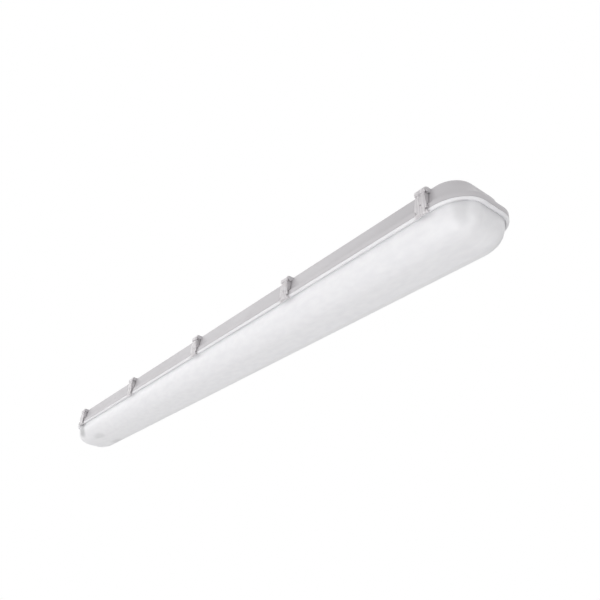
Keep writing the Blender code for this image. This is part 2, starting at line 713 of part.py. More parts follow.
def make_fasteners(material):
    """Quarter-turn fasteners: head below the tray, bar locked across the post's slot."""
    for number, x in enumerate(FASTENER_PLACES):
        top = TRAY_LEVEL - CLEARANCE
        head_low = top - FASTENER_HEAD
        bar_low = BOSS_BOTTOM + BOSS_PLATE + BOSS_GAP
        bar_top = bar_low + FASTENER_BAR_HEIGHT
        fastener = turned(f"tray_fastener_{number + 1}", [
            (0, bar_top), (FASTENER_SHANK, bar_top), (FASTENER_SHANK, top),
            (FASTENER_HEAD_RADIUS, top), (FASTENER_HEAD_RADIUS, head_low), (0, head_low)])
        half_l = FASTENER_BAR_LENGTH / 2
        half_w = FASTENER_BAR_WIDTH / 2
        bar = box(
            f"fastener_bar_{number + 1}", (x - half_l, -half_w, RIM_Z + bar_low),
            (x + half_l, half_w, RIM_Z + bar_top - CLEARANCE))
        reach = FASTENER_HEAD_RADIUS - FASTENER_GRIP
        half_g = FASTENER_GRIP_WIDTH / 2
        grip = box(
            f"fastener_grip_{number + 1}", (x - reach, -half_g, RIM_Z + head_low - FASTENER_GRIP),
            (x + reach, half_g, RIM_Z + head_low + FASTENER_HEAD / 2))
        place(fastener, (x, 0, RIM_Z))
        boolean(fastener, bar, "UNION")
        boolean(fastener, grip, "UNION")
        fastener.data.materials.append(material)


def make_lampholder(name, end, y, body, rotor_finish):
    """A lampholder snapped into the tray, and the slotted rotor that the lamp's pins turn."""
    sides = ROUND_SIDES
    top = LAMP_DROP - CLEARANCE
    outline = [(HOLDER_RADIUS, top), (-HOLDER_RADIUS, top)]
    for step in range(sides + 1):
        angle = math.radians(180 + 180 * step / sides)
        outline.append((HOLDER_RADIUS * math.cos(angle), HOLDER_RADIUS * math.sin(angle)))
    middle = HOLDER_GAP + HOLDER_THICKNESS / 2
    holder = prism(f"lampholder_{name}", outline, HOLDER_THICKNESS / 2, ALONG_X, end * middle)
    holder.data.materials.append(body)
    depth = end * (HOLDER_GAP + ROTOR_DEPTH + CLEARANCE)
    front = end * (HOLDER_GAP - OVERRUN)
    bore = cylinder(
        f"holder_bore_{name}", ROTOR_RADIUS + CLEARANCE, (front, 0, 0), (depth, 0, 0))
    xs = sorted((front, depth))
    half = SLOT_WIDTH / 2
    entry = box(
        f"holder_entry_{name}", (xs[0], -half, -HOLDER_RADIUS - OVERRUN), (xs[1], half, 0))
    leg_x = end * middle
    half_t = LEG_THICKNESS / 2
    half_leg = LEG_WIDTH / 2
    leg_top = top + LEG_HEIGHT
    leg = box(
        f"holder_leg_{name}", (leg_x - half_t, -half_leg, top - OVERRUN),
        (leg_x + half_t, half_leg, leg_top))
    barb_low = LAMP_DROP + TRAY_STEEL + CLEARANCE
    barb = box(
        f"holder_barb_{name}", (leg_x - half_t + CLEARANCE, -half_leg - BARB, barb_low),
        (leg_x + half_t - CLEARANCE, half_leg + BARB, barb_low + BARB_HEIGHT))
    at = (end * LAMP_LENGTH / 2, y, RIM_Z + LAMP_HEIGHT)
    for tool, operation in (
            (bore, "DIFFERENCE"), (entry, "DIFFERENCE"), (leg, "UNION"), (barb, "UNION")):
        boolean(holder, tool, operation)
        place(tool, at)
    place(holder, at)
    rotor = cylinder(
        f"rotor_{name}", ROTOR_RADIUS, (end * HOLDER_GAP, 0, 0),
        (end * (HOLDER_GAP + ROTOR_DEPTH), 0, 0))
    slot_end = end * (PIN_LENGTH + CLEARANCE)
    xs = sorted((end * (HOLDER_GAP - OVERRUN), slot_end))
    reach = ROTOR_RADIUS + OVERRUN
    slot = box(f"rotor_slot_{name}", (xs[0], -reach, -half), (xs[1], reach, half))
    boolean(rotor, slot)
    place(slot, at)
    place(rotor, at)
    rotor.data.materials.append(rotor_finish)


def make_lamp(name, y, glass, metal):
    """A glass tube open at both ends, closed by a cap with two pins at each end."""
    half = LAMP_LENGTH / 2 - CAP_END - CLEARANCE
    inner = TUBE_RADIUS - TUBE_WALL
    tube = turned(f"lamp_tube_{name}", [
        (TUBE_RADIUS, half), (TUBE_RADIUS, -half), (inner, -half), (inner, half)],
        sides=ROUND_SIDES + ROUND_SIDES // 2, ring=True)
    place(tube, (0, y, RIM_Z + LAMP_HEIGHT), (0, math.pi / 2, 0))
    tube.data.materials.append(glass)
    bore = TUBE_RADIUS + CLEARANCE
    for side, end in (("left", -1), ("right", 1)):
        cap = turned(f"lamp_cap_{name}_{side}", [
            (0, 0), (bore + CAP_WALL, 0), (bore + CAP_WALL, -CAP_SLEEVE), (bore, -CAP_SLEEVE),
            (bore, -CAP_END), (0, -CAP_END)], sides=ROUND_SIDES + ROUND_SIDES // 2)
        at = (end * LAMP_LENGTH / 2, y, RIM_Z + LAMP_HEIGHT)
        place(cap, at, (0, end * math.pi / 2, 0))
        cap.data.materials.append(metal)
        for pin_name, offset in (("a", -PIN_SPACING / 2), ("b", PIN_SPACING / 2)):
            pin = cylinder(
                f"pin_{name}_{side}_{pin_name}", PIN_RADIUS, (-end * CAP_END / 2, offset, 0),
                (end * PIN_LENGTH, offset, 0), 10)
            boolean(cap, pin, "UNION")
            place(pin, at)


def make_ballast(base_finish, cover_finish, board_finish, connector_finish):
    """The ballast: base plate with screw ends, folded cover, board inside and connectors."""
    low = RIM_Z + FLOOR_TOP
    plate = low + BALLAST_BASE_STEEL
    wide = BALLAST_HALF_WIDTH
    base = box("ballast_base", (-BALLAST_BASE_HALF, -wide, low), (BALLAST_BASE_HALF, wide, plate))
    base.data.materials.append(base_finish)
    for side, x in (("left", -BALLAST_SCREW_PLACE), ("right", BALLAST_SCREW_PLACE)):
        hole = cylinder(
            f"base_hole_{side}", SCREW_SHANK + CLEARANCE, (x, 0, low - OVERRUN),
            (x, 0, plate + OVERRUN))
        boolean(base, hole)
    start = plate + CLEARANCE
    top = low + BALLAST_HEIGHT
    long = BALLAST_HALF_LENGTH
    wall = BALLAST_COVER_WALL
    cover = box("ballast_cover", (-long, -wide, start), (long, wide, top))
    cover.data.materials.append(cover_finish)
    hollow = box(
        "cover_hollow", (-long + wall, -wide + wall, start - OVERRUN),
        (long - wall, wide - wall, top - wall))
    boolean(cover, hollow)
    edge_x = long - wall - CLEARANCE
    edge_y = wide - wall - CLEARANCE
    board_low = plate + BOARD_STAND
    board_top = board_low + BOARD_THICKNESS
    board = box(
        "ballast_board", (-edge_x, -edge_y, board_low), (edge_x, edge_y, board_top))
    board.data.materials.append(board_finish)
    for number, (at_share, half_share) in enumerate(BOARD_PART_SHARES):
        part = box(
            f"board_part_{number + 1}",
            ((at_share - half_share) * long, -edge_y / 2, board_top - BOARD_THICKNESS / 2),
            ((at_share + half_share) * long, edge_y / 2, board_top + BOARD_PART_HEIGHT))
        boolean(board, part, "UNION")
        foot = box(
            f"board_foot_{number + 1}",
            (at_share * long - BOARD_STAND / 2, -BOARD_STAND / 2, start),
            (at_share * long + BOARD_STAND / 2, BOARD_STAND / 2, board_low + BOARD_THICKNESS / 2))
        boolean(board, foot, "UNION")
    for side, end in (("left", -1), ("right", 1)):
        near = end * (long + CLEARANCE)
        xs = sorted((near, near + end * CONNECTOR_LENGTH))
        connector = box(
            f"ballast_connector_{side}", (xs[0], -CONNECTOR_HALF_WIDTH, start),
            (xs[1], CONNECTOR_HALF_WIDTH, start + CONNECTOR_HEIGHT))
        connector.data.materials.append(connector_finish)
        far = near + end * CONNECTOR_LENGTH
        for index in range(4):
            y = (index - 1.5) * WIRE_PITCH
            z = start + WIRE_ENTRY_HEIGHT
            hole = cylinder(
                f"connector_hole_{side}_{index + 1}", WIRE_ENTRY_RADIUS,
                (far + end * OVERRUN, y, z), (far - end * WIRE_ENTRY_DEPTH, y, z), 8)
            boolean(connector, hole)


def make_screw(name, x, y, seat, material, washer=False):
    """A pan-head screw from a seat down through the tray, with its washer if it has one."""
    under = TRAY_LEVEL - SCREW_REACH
    top = seat + CLEARANCE + SCREW_HEAD
    profile = [(0, top), (SCREW_HEAD_RADIUS, top), (SCREW_HEAD_RADIUS, seat + CLEARANCE)]
    if washer:
        rise = top + WASHER_THICKNESS
        profile = [
            (0, rise), (SCREW_HEAD_RADIUS, rise),
            (SCREW_HEAD_RADIUS, seat + CLEARANCE + WASHER_THICKNESS),
            (WASHER_RADIUS, seat + CLEARANCE + WASHER_THICKNESS),
            (WASHER_RADIUS, seat + CLEARANCE)]
    profile += [(SCREW_SHANK, seat + CLEARANCE), (SCREW_SHANK, under), (0, under)]
    screw = turned(name, profile, sides=12)
    place(screw, (x, y, RIM_Z))
    screw.data.materials.append(material)


def make_terminal_block(material):
    """The mains terminal block, with an entry hole and a screw hole for each of three poles."""
    low = RIM_Z + FLOOR_TOP
    top = low + BLOCK_HEIGHT
    half = BLOCK_LENGTH / 2
    block = box(
        "terminal_block", (BLOCK_PLACE - half, -BLOCK_HALF_WIDTH, low),
        (BLOCK_PLACE + half, BLOCK_HALF_WIDTH, top))
    block.data.materials.append(material)
    for pole in (-1, 0, 1):
        y = pole * POLE_SPACING
        z = low + WIRE_ENTRY_HEIGHT
        for side, end in (("left", -1), ("right", 1)):
            x = BLOCK_PLACE + end * half
            hole = cylinder(
                f"block_entry_{side}_{pole + 2}", WIRE_ENTRY_RADIUS, (x + end * OVERRUN, y, z),
                (x - end * WIRE_ENTRY_DEPTH, y, z), 8)
            boolean(block, hole)
        well = cylinder(
            f"block_well_{pole + 2}", WIRE_ENTRY_RADIUS, (BLOCK_PLACE, y, top + OVERRUN),
            (BLOCK_PLACE, y, top - BLOCK_HOLE_DEPTH), 8)
        boolean(block, well)
    x = BLOCK_PLACE
    y = POLE_SPACING / 2
    screw_way = cylinder(
        "block_screw_way", SCREW_SHANK + CLEARANCE, (x, y, low - OVERRUN), (x, y, top + OVERRUN), 12)
    boolean(block, screw_way)


def smooth_route(points):
    """Points along one smooth curve through the route's own points."""
    path = [Vector(p) for p in points]
    path = [path[0] * 2 - path[1], *path, path[-1] * 2 - path[-2]]
    found = []
    for a, b, c, d in zip(path, path[1:], path[2:], path[3:]):
        for step in range(WIRE_STEPS):
            t = step / WIRE_STEPS
            found.append((
                b * 2 + (c - a) * t + (a * 2 - b * 5 + c * 4 - d) * t ** 2
                + (b * 3 - a - c * 3 + d) * t ** 3) / 2)
    found.append(path[-2])
    return found


def make_wire(name, points, material):
    """One insulated wire along its route, given in heights above the rim plane."""
    curve = bpy.data.curves.new(name, "CURVE")
    curve.dimensions = "3D"
    curve.bevel_depth = WIRE_RADIUS
    curve.bevel_resolution = 2
    curve.use_fill_caps = True
    route = smooth_route(points)
    spline = curve.splines.new("POLY")
    spline.points.add(len(route) - 1)
    for point, at in zip(spline.points, route):
        point.co = (*at, 1)
    wire = bpy.data.objects.new(name, curve)
    parts.objects.link(wire)
    wire.location.z = RIM_Z
    curve.materials.append(material)


def make_wires(live, neutral, earth, lamp):
    """Mains wires from the block to the ballast, and one wire from it to each lampholder."""
    lie = FLOOR_TOP + WIRE_LIFT
    entry = FLOOR_TOP + WIRE_ENTRY_HEIGHT
    socket = FLOOR_TOP + BALLAST_BASE_STEEL + CLEARANCE + WIRE_ENTRY_HEIGHT
    block_end = BLOCK_PLACE + BLOCK_LENGTH / 2 - WIRE_ENTRY_DEPTH + CLEARANCE
    ballast_end = BALLAST_HALF_LENGTH + CONNECTOR_LENGTH + CLEARANCE
    inside = ballast_end - WIRE_ENTRY_DEPTH + CLEARANCE
    clear = BOSS_RADIUS + WIRE_CLEAR
    near_block = BLOCK_PLACE + BLOCK_LENGTH * 1.5
    near_ballast = BALLAST_BASE_HALF + BLOCK_LENGTH
    post_in = FASTENER_PLACES[1] + BOSS_RADIUS * 2
    post_out = FASTENER_PLACES[0] - BOSS_RADIUS * 2
    for name, pole, hole, way, finish in (
            ("wire_live", -1, -0.5, -clear - WIRE_STEP, live),
            ("wire_neutral", 0, 0.5, -clear, neutral)):
        y_block = pole * POLE_SPACING
        y_ballast = hole * WIRE_PITCH
        make_wire(name, [
            (block_end, y_block, entry), (BLOCK_PLACE + BLOCK_LENGTH, y_block, entry),
            (near_block, y_block, lie), (post_out, way, lie), (post_in, way, lie),
            (-near_ballast, y_ballast, lie), (-BALLAST_BASE_HALF, y_ballast, socket),
            (-inside, y_ballast, socket)], finish)
    earth_x, earth_y = EARTH_PLACE
    ring = WASHER_RADIUS + WIRE_RADIUS + CLEARANCE
    back = BLOCK_PLACE - BLOCK_LENGTH / 2 + WIRE_ENTRY_DEPTH - CLEARANCE
    make_wire("wire_earth", [
        (back, POLE_SPACING, entry), (BLOCK_PLACE - BLOCK_LENGTH, POLE_SPACING, entry),
        (earth_x + WASHER_RADIUS * 2, POLE_SPACING, lie),
        (earth_x, earth_y + ring, FLOOR_TOP + WIRE_RADIUS)], earth)
    leg_x = LAMP_LENGTH / 2 + HOLDER_GAP + HOLDER_THICKNESS / 2
    leg_face = leg_x - LEG_THICKNESS / 2 - CLEARANCE
    leg_mid = TRAY_TOP + LEG_HEIGHT / 2
    for name, end, y in holder_places():
        side = 1 if y > 0 else -1
        way = side * (BLOCK_HALF_WIDTH + WIRE_PITCH)
        y_out = side * 1.5 * WIRE_PITCH
        make_wire(f"wire_{name}", [
            (end * inside, y_out, socket), (end * BALLAST_BASE_HALF, y_out, socket),
            (end * near_ballast, y_out, lie), (end * -post_in, way, lie),
            (end * -post_out, way, lie), (end * -near_block, way, lie),
            (end * (leg_face - BLOCK_LENGTH), y, lie), (end * leg_face, y, leg_mid)], lamp)


def make_brackets(material):
    """Spring steel brackets: ears screwed to the ceiling, lips under the housing's pads."""
    lip_out = PAD_HEAD_HALF + BRACKET_PLAY + BRACKET_STEEL
    lip_in = PAD_STEM_HALF + BRACKET_PLAY
    lip_top = -MOUNT_GAP + PAD_STEM - CLEARANCE
    lip_low = lip_top - BRACKET_STEEL
    right = [
        (BRACKET_HALF_WIDTH, 0), (BRACKET_HALF_WIDTH, -BRACKET_STEEL),
        (lip_out, -BRACKET_STEEL), (lip_out, lip_low), (lip_in, lip_low), (lip_in, lip_top),
        (lip_out - BRACKET_STEEL, lip_top), (lip_out - BRACKET_STEEL, -BRACKET_STEEL)]
    outline = right + [(-y, z) for y, z in reversed(right)]
    for side, x in (("left", -BRACKET_PLACE), ("right", BRACKET_PLACE)):
        bracket = prism(f"bracket_{side}", outline, BRACKET_HALF_LENGTH, ALONG_X)
        bracket.location.x = x
        bracket.data.materials.append(material)
        for ear, y in (("front", -BRACKET_SCREW_OFFSET), ("rear", BRACKET_SCREW_OFFSET)):
            hole = cylinder(
                f"bracket_hole_{side}_{ear}", BRACKET_HOLE_RADIUS,
                (x, y, -BRACKET_STEEL - OVERRUN), (x, y, OVERRUN), 12)
            boolean(bracket, hole)


def gland_piece(name, piece, material):
    """Turns a piece made along +Z so that it points out of the end wall at the gland."""
    place(piece, (GLAND_FACE, 0, RIM_Z + GLAND_HEIGHT), (0, -math.pi / 2, 0))
    piece.data.materials.append(material)


def hexagon(name, radius, start, end, material, bore):
    """A hexagonal block with a round bore, along the gland's own axis."""
    piece = cylinder(name, radius, (0, 0, start), (0, 0, end), 6)
    hole = cylinder(f"{name}_bore", bore, (0, 0, start - OVERRUN), (0, 0, end + OVERRUN))
    boolean(piece, hole)
    gland_piece(name, piece, material)
    place(hole, piece.location, piece.rotation_euler)
    return piece


def make_gland(nylon, rubber):
    """A compression gland: washer, flanged body, locknut inside, seal and dome nut."""
    thread = GLAND_THREAD_RADIUS
    bore = GLAND_BORE_RADIUS
    flange_low = GLAND_WASHER + CLEARANCE * 2
    flange_top = flange_low + GLAND_FLANGE
    body_top = flange_top + GLAND_OUTER_THREAD
    inner_end = -GLAND_PANEL - GLAND_INNER_THREAD
    hexagon("gland_body", GLAND_FLANGE_RADIUS, flange_low, flange_top, nylon, bore)
    sleeve = turned("gland_sleeve", [
        (thread, body_top), (thread, inner_end), (bore, inner_end), (bore, body_top)], ring=True)
    place(sleeve, (GLAND_FACE, 0, RIM_Z + GLAND_HEIGHT), (0, -math.pi / 2, 0))
    boolean(bpy.data.objects["gland_body"], sleeve, "UNION")
    washer_bore = thread + CLEARANCE
    washer = turned("gland_washer", [
        (GLAND_POCKET_RADIUS, GLAND_WASHER + CLEARANCE), (GLAND_POCKET_RADIUS, CLEARANCE),
        (washer_bore, CLEARANCE), (washer_bore, GLAND_WASHER + CLEARANCE)], ring=True)
    gland_piece("gland_washer", washer, rubber)
    nut_top = -GLAND_PANEL - CLEARANCE
    hexagon(
        "gland_locknut", LOCKNUT_RADIUS, nut_top - LOCKNUT_LENGTH, nut_top, nylon, washer_bore)
    shoulder = flange_top + CLEARANCE + DOME_NUT_HEX
    seal_top = shoulder - CLEARANCE
    seal_out = bore - CLEARANCE
    seal = turned("gland_seal", [
        (seal_out, seal_top), (seal_out, seal_top - GLAND_SEAL_LENGTH),
        (GLAND_SEAL_RADIUS, seal_top - GLAND_SEAL_LENGTH), (GLAND_SEAL_RADIUS, seal_top)],
        ring=True)
    gland_piece("gland_seal", seal, rubber)
    hexagon(
        "gland_dome_nut", DOME_NUT_RADIUS, flange_top + CLEARANCE, shoulder, nylon, washer_bore)
    tip = shoulder + DOME_NUT_DOME
    root = DOME_NUT_RADIUS * math.cos(math.pi / 6)
    dome = turned("gland_dome", [
        (DOME_NUT_HOLE, tip), (DOME_NUT_TIP, tip), (root, shoulder),
        (root, shoulder - CLEARANCE * 2), (washer_bore + CLEARANCE, shoulder - CLEARANCE * 2),
        (DOME_NUT_HOLE, shoulder)], ring=True)
    place(dome, (GLAND_FACE, 0, RIM_Z + GLAND_HEIGHT), (0, -math.pi / 2, 0))
    boolean(bpy.data.objects["gland_dome_nut"], dome, "UNION")


grey_shell = finish_of("grey_polycarbonate", (0.55, 0.55, 0.57), 0.45)
milky_shell = finish_of("milky_polycarbonate", (0.84, 0.84, 0.86), 0.25, transmission=0.3)
clip_plastic = finish_of("clip_nylon", (0.72, 0.70, 0.71), 0.35)
foam = finish_of("gasket_foam", (0.80, 0.80, 0.79), 0.9)
white_steel = finish_of("white_painted_steel", (0.88, 0.88, 0.87), 0.35)
white_plastic = finish_of("white_plastic", (0.85, 0.85, 0.84), 0.4)
rotor_plastic = finish_of("rotor_plastic", (0.78, 0.78, 0.76), 0.4)
tube_glass = finish_of("phosphor_glass", (0.92, 0.92, 0.90), 0.3)
cap_metal = finish_of("aluminium_cap", (0.75, 0.75, 0.76), 0.3, metallic=1.0)
zinc_steel = finish_of("zinc_steel", (0.62, 0.62, 0.64), 0.35, metallic=1.0)
spring_steel = finish_of("stainless_steel", (0.66, 0.65, 0.63), 0.3, metallic=1.0)
green_board = finish_of("circuit_board", (0.10, 0.30, 0.16), 0.5)
grey_nylon = finish_of("grey_nylon", (0.45, 0.46, 0.48), 0.5)
black_rubber = finish_of("seal_rubber", (0.05, 0.05, 0.05), 0.8)
brown_wire = finish_of("brown_wire", (0.22, 0.10, 0.05), 0.5)
blue_wire = finish_of("blue_wire", (0.06, 0.16, 0.45), 0.5)
green_wire = finish_of("earth_wire", (0.20, 0.45, 0.10), 0.5)
white_wire = finish_of("white_wire", (0.80, 0.80, 0.78), 0.5)

make_housing(grey_shell)
make_gasket(foam)
make_diffuser(milky_shell)
make_clips(clip_plastic)
make_tray(white_steel)
make_fasteners(white_plastic)
for holder_name, holder_end, holder_y in holder_places():
    make_lampholder(holder_name, holder_end, holder_y, white_plastic, rotor_plastic)
make_lamp("front", -LAMP_SPACING / 2, tube_glass, cap_metal)
make_lamp("rear", LAMP_SPACING / 2, tube_glass, cap_metal)
make_ballast(zinc_steel, white_steel, green_board, white_plastic)
plate_top = FLOOR_TOP + BALLAST_BASE_STEEL
for screw_name, screw_x, screw_y in screw_places():
    if screw_name.startswith("ballast"):
        make_screw(f"{screw_name}_screw", screw_x, screw_y, plate_top, zinc_steel)
make_terminal_block(white_plastic)
make_screw(
    "terminal_screw", BLOCK_PLACE, POLE_SPACING / 2, FLOOR_TOP + BLOCK_HEIGHT, zinc_steel)
make_screw("earth_screw", *EARTH_PLACE, TRAY_TOP, zinc_steel, washer=True)
make_wires(brown_wire, blue_wire, green_wire, white_wire)
make_brackets(spring_steel)
make_gland(grey_nylon, black_rubber)
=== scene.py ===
import math

import bmesh
import bpy
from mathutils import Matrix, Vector


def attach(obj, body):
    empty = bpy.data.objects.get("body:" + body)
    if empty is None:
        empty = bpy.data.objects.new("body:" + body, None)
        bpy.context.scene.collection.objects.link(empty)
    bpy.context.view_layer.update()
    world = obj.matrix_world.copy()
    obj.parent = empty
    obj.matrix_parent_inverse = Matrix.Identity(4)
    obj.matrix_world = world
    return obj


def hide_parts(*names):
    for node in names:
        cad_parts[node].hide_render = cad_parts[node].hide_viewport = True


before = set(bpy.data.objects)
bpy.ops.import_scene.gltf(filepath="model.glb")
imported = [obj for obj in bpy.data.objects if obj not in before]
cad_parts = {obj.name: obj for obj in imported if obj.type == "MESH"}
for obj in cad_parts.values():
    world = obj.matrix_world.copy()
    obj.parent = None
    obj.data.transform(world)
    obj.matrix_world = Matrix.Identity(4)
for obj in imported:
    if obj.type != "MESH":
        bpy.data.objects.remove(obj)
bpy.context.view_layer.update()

# The camera stands below and to the right of the light, as for a catalogue picture, and looks up
# along it, so the near end is large and the far end small.
CAMERA_PLACE = (1.00775, -0.52530, -0.53883)
CAMERA_TURN_DEGREES = (119.7546, -4.137, 52.9799)
CAMERA_LENS = 39.1204
SENSOR_WIDTH = 36

bpy.ops.object.camera_add(
    location=CAMERA_PLACE, rotation=[math.radians(turn) for turn in CAMERA_TURN_DEGREES])
camera = bpy.context.object
camera.data.lens = CAMERA_LENS
camera.data.sensor_width = SENSOR_WIDTH
bpy.context.scene.camera = camera

# The studio: a white surround that also shows in gloss and through clear plastic, a pale floor
# far below the light that keeps a faint shadow, and four large soft lamps.
AMBIENT = 0.64
FLOOR_DROP = 2.4
FLOOR_SIZE = 60
FLOOR_GLOW_SHARE = 0.94
FLOOR_SHADE = 0.86
STUDIO_LAMPS = (
    # place, target, width, power in watts
    ((0.4, -1.6, -1.8), (0.1, 0.0, -0.05), 2.4, 32),
    ((-1.9, -1.8, 1.1), (-0.4, 0.0, -0.03), 3.2, 28),
    ((2.3, -0.5, -0.9), (0.4, 0.0, -0.05), 1.8, 7),
    ((0.9, 0.7, 2.6), (0.0, 0.0, 0.0), 4.6, 22),
)


def seen_directly(nodes, links):
    """1 for rays from the camera, off gloss or through clear plastic, else 0."""
    path = nodes.new("ShaderNodeLightPath")
    last = path.outputs["Is Camera Ray"]
    for name in ("Is Glossy Ray", "Is Transmission Ray"):
        either = nodes.new("ShaderNodeMath")
        either.operation = "MAXIMUM"
        links.new(last, either.inputs[0])
        links.new(path.outputs[name], either.inputs[1])
        last = either.outputs[0]
    return last


studio = bpy.data.worlds.new("studio")
studio.use_nodes = True
bpy.context.scene.world = studio
nodes, links = studio.node_tree.nodes, studio.node_tree.links
nodes.clear()
surround = nodes.new("ShaderNodeBackground")
surround.inputs["Color"].default_value = (1, 1, 1, 1)
surround.inputs["Strength"].default_value = 1
soft_light = nodes.new("ShaderNodeBackground")
soft_light.inputs["Color"].default_value = (1, 1, 1, 1)
soft_light.inputs["Strength"].default_value = AMBIENT
either_light = nodes.new("ShaderNodeMixShader")
world_out = nodes.new("ShaderNodeOutputWorld")
links.new(seen_directly(nodes, links), either_light.inputs[0])
links.new(soft_light.outputs[0], either_light.inputs[1])
links.new(surround.outputs[0], either_light.inputs[2])
links.new(either_light.outputs[0], world_out.inputs["Surface"])

bpy.ops.object.select_all(action="DESELECT")
bpy.ops.mesh.primitive_plane_add(size=FLOOR_SIZE, location=(0, 0, -FLOOR_DROP))
floor = bpy.context.object
floor.name = "studio_floor"
floor_paint = bpy.data.materials.new("floor_paint")
floor_paint.use_nodes = True
nodes, links = floor_paint.node_tree.nodes, floor_paint.node_tree.links
nodes.clear()
matt = nodes.new("ShaderNodeBsdfDiffuse")
matt.inputs["Color"].default_value = (FLOOR_SHADE, FLOOR_SHADE, FLOOR_SHADE, 1)
glow = nodes.new("ShaderNodeEmission")
glow.inputs["Strength"].default_value = 1
lit = nodes.new("ShaderNodeMixShader")
lit.inputs[0].default_value = FLOOR_GLOW_SHARE
seen = nodes.new("ShaderNodeMixShader")
floor_out = nodes.new("ShaderNodeOutputMaterial")
links.new(matt.outputs[0], lit.inputs[1])
links.new(glow.outputs[0], lit.inputs[2])
links.new(seen_directly(nodes, links), seen.inputs[0])
links.new(matt.outputs[0], seen.inputs[1])
links.new(lit.outputs[0], seen.inputs[2])
links.new(seen.outputs[0], floor_out.inputs["Surface"])
floor.data.materials.append(floor_paint)

for place, target, width, power in STUDIO_LAMPS:
    bpy.ops.object.light_add(type="AREA", location=place)
    lamp = bpy.context.object
    lamp.data.shape = "SQUARE"
    lamp.data.size = width
    lamp.data.energy = power
    lamp.rotation_euler = (Vector(target) - Vector(place)).to_track_quat("-Z", "Y").to_euler()

bpy.context.scene.view_settings.view_transform = "Standard"

# Housing: one grey injection moulding in polycarbonate, a long trough with rounded ends. Its
# skirt hides the gasket channel, and posts, pads, hinge rods and the gland boss are moulded on.
HALF_LENGTH = 0.635
HALF_WIDTH = 0.054
CORNER_ALONG = 0.050
CORNER_ACROSS = 0.036
LEAST_CORNER_SHARE = 0.5
CORNER_STEPS = 14
RIM = -0.0474
HOUSING_HEIGHT = 0.0418
HOUSING_WALL = 0.0022
WALL_STEP = 0.0026
SIDE_TAPER = 0.0025
END_STEP = 0.0046
END_TAPER = 0.0104
BACK_RADIUS = 0.0114
BACK_STEPS = 10
SKIRT_WALL = 0.0015
SKIRT_BOTTOM = 0.0030
SKIRT_TOP = 0.0114
SKIRT_CHAMFER = 0.0008
CHANNEL_TOP = 0.0092
LEG_OUTER = 0.0067
LEG_INNER = 0.0083
MOULDED_EDGE = 0.00025
POST_PLACES = (-0.415, -0.317, 0.317, 0.415)
POST_RADIUS = 0.0090
POST_HOLLOW_RADIUS = 0.0070
POST_LOW = 0.0062
POST_PLATE = 0.0020
POST_HOLE_RADIUS = 0.0036
POST_SLOT = (0.0027, 0.0066)
PAD_PLACES = (-0.400, 0.400)
PAD_HALF_LENGTH = 0.0200
PAD_STEM_HALF = 0.0115
PAD_STEM = 0.0019
PAD_HEAD_HALF = 0.0145
PAD_HEAD = 0.0018
CLIP_SPACING = 0.285
CLIP_STEPS = (-2, -1, 0, 1, 2)
HINGE_OUT = 0.0542
HINGE_HEIGHT = 0.0325
ROD_RADIUS = 0.0021
EAR_RADIUS = 0.0032
EAR_WEB = 0.0064
EAR_AT = 0.0087
EAR_THICKNESS = 0.0015
GLAND_FACE = -0.630
GLAND_HEIGHT = 0.0240
GLAND_BOSS_RADIUS = 0.0135
GLAND_BOSS_LENGTH = 0.0170
GLAND_PANEL = 0.0028
GLAND_POCKET_RADIUS = 0.0115
GLAND_POCKET_LENGTH = 0.026
GLAND_HOLE_RADIUS = 0.0083
ROUND_SIDES = 32
OVERRUN = 0.002
EDGE_SEGMENTS = 2
ROUNDED_ABOVE = math.radians(40)
SMOOTH_BELOW = math.radians(32)
CLOUD_DARK_UP_TO = 0.35
CLOUD_LIGHT_FROM = 0.65
CLOUD_DETAIL = 4
WEAR_FINENESS = 4
WEAR_DETAIL = 3
GRAIN_DETAIL = 2
GRAIN_HEIGHT = 0.0004
SCATTER_DEPTH = 0.003


def pick(piece, wanted):
    """Selects only those points of the edited mesh for which the test holds."""
    bpy.ops.mesh.select_mode(type="VERT")
    bpy.ops.mesh.select_all(action="DESELECT")
    bm = bmesh.from_edit_mesh(piece.data)
    for point in bm.verts:
        point.select = wanted(point)
    bm.select_flush_mode()
    bmesh.update_edit_mesh(piece.data)


def ring_corner(across, along):
    """Where the plan's rounded corners sit, and their two radii, for one pair of insets."""
    half_w = HALF_WIDTH - across
    half_l = HALF_LENGTH - along
    radius_w = max(CORNER_ACROSS - across, LEAST_CORNER_SHARE * half_w)
    radius_l = max(CORNER_ALONG - along, LEAST_CORNER_SHARE * half_w)
    return half_l - radius_l, half_w - radius_w, radius_l, radius_w


def shift_ring(piece, old, new):
    """Takes the selected ring, corner by corner, from old to new (reach, reach, radii, height)."""
    bm = bmesh.from_edit_mesh(piece.data)
    ring = {point.index for point in bm.verts if point.select}
    for side_x, side_y in ((1, 1), (-1, 1), (-1, -1), (1, -1)):
        pick(piece, lambda p: p.index in ring and p.co.x * side_x > 0 and p.co.y * side_y > 0)
        bpy.ops.transform.resize(
            value=(new[2] / old[2], new[3] / old[3], 1),
            center_override=(side_x * old[0], side_y * old[1], old[4]))
        bpy.ops.transform.translate(
            value=(side_x * (new[0] - old[0]), side_y * (new[1] - old[1]), new[4] - old[4]))
    pick(piece, lambda p: p.index in ring)


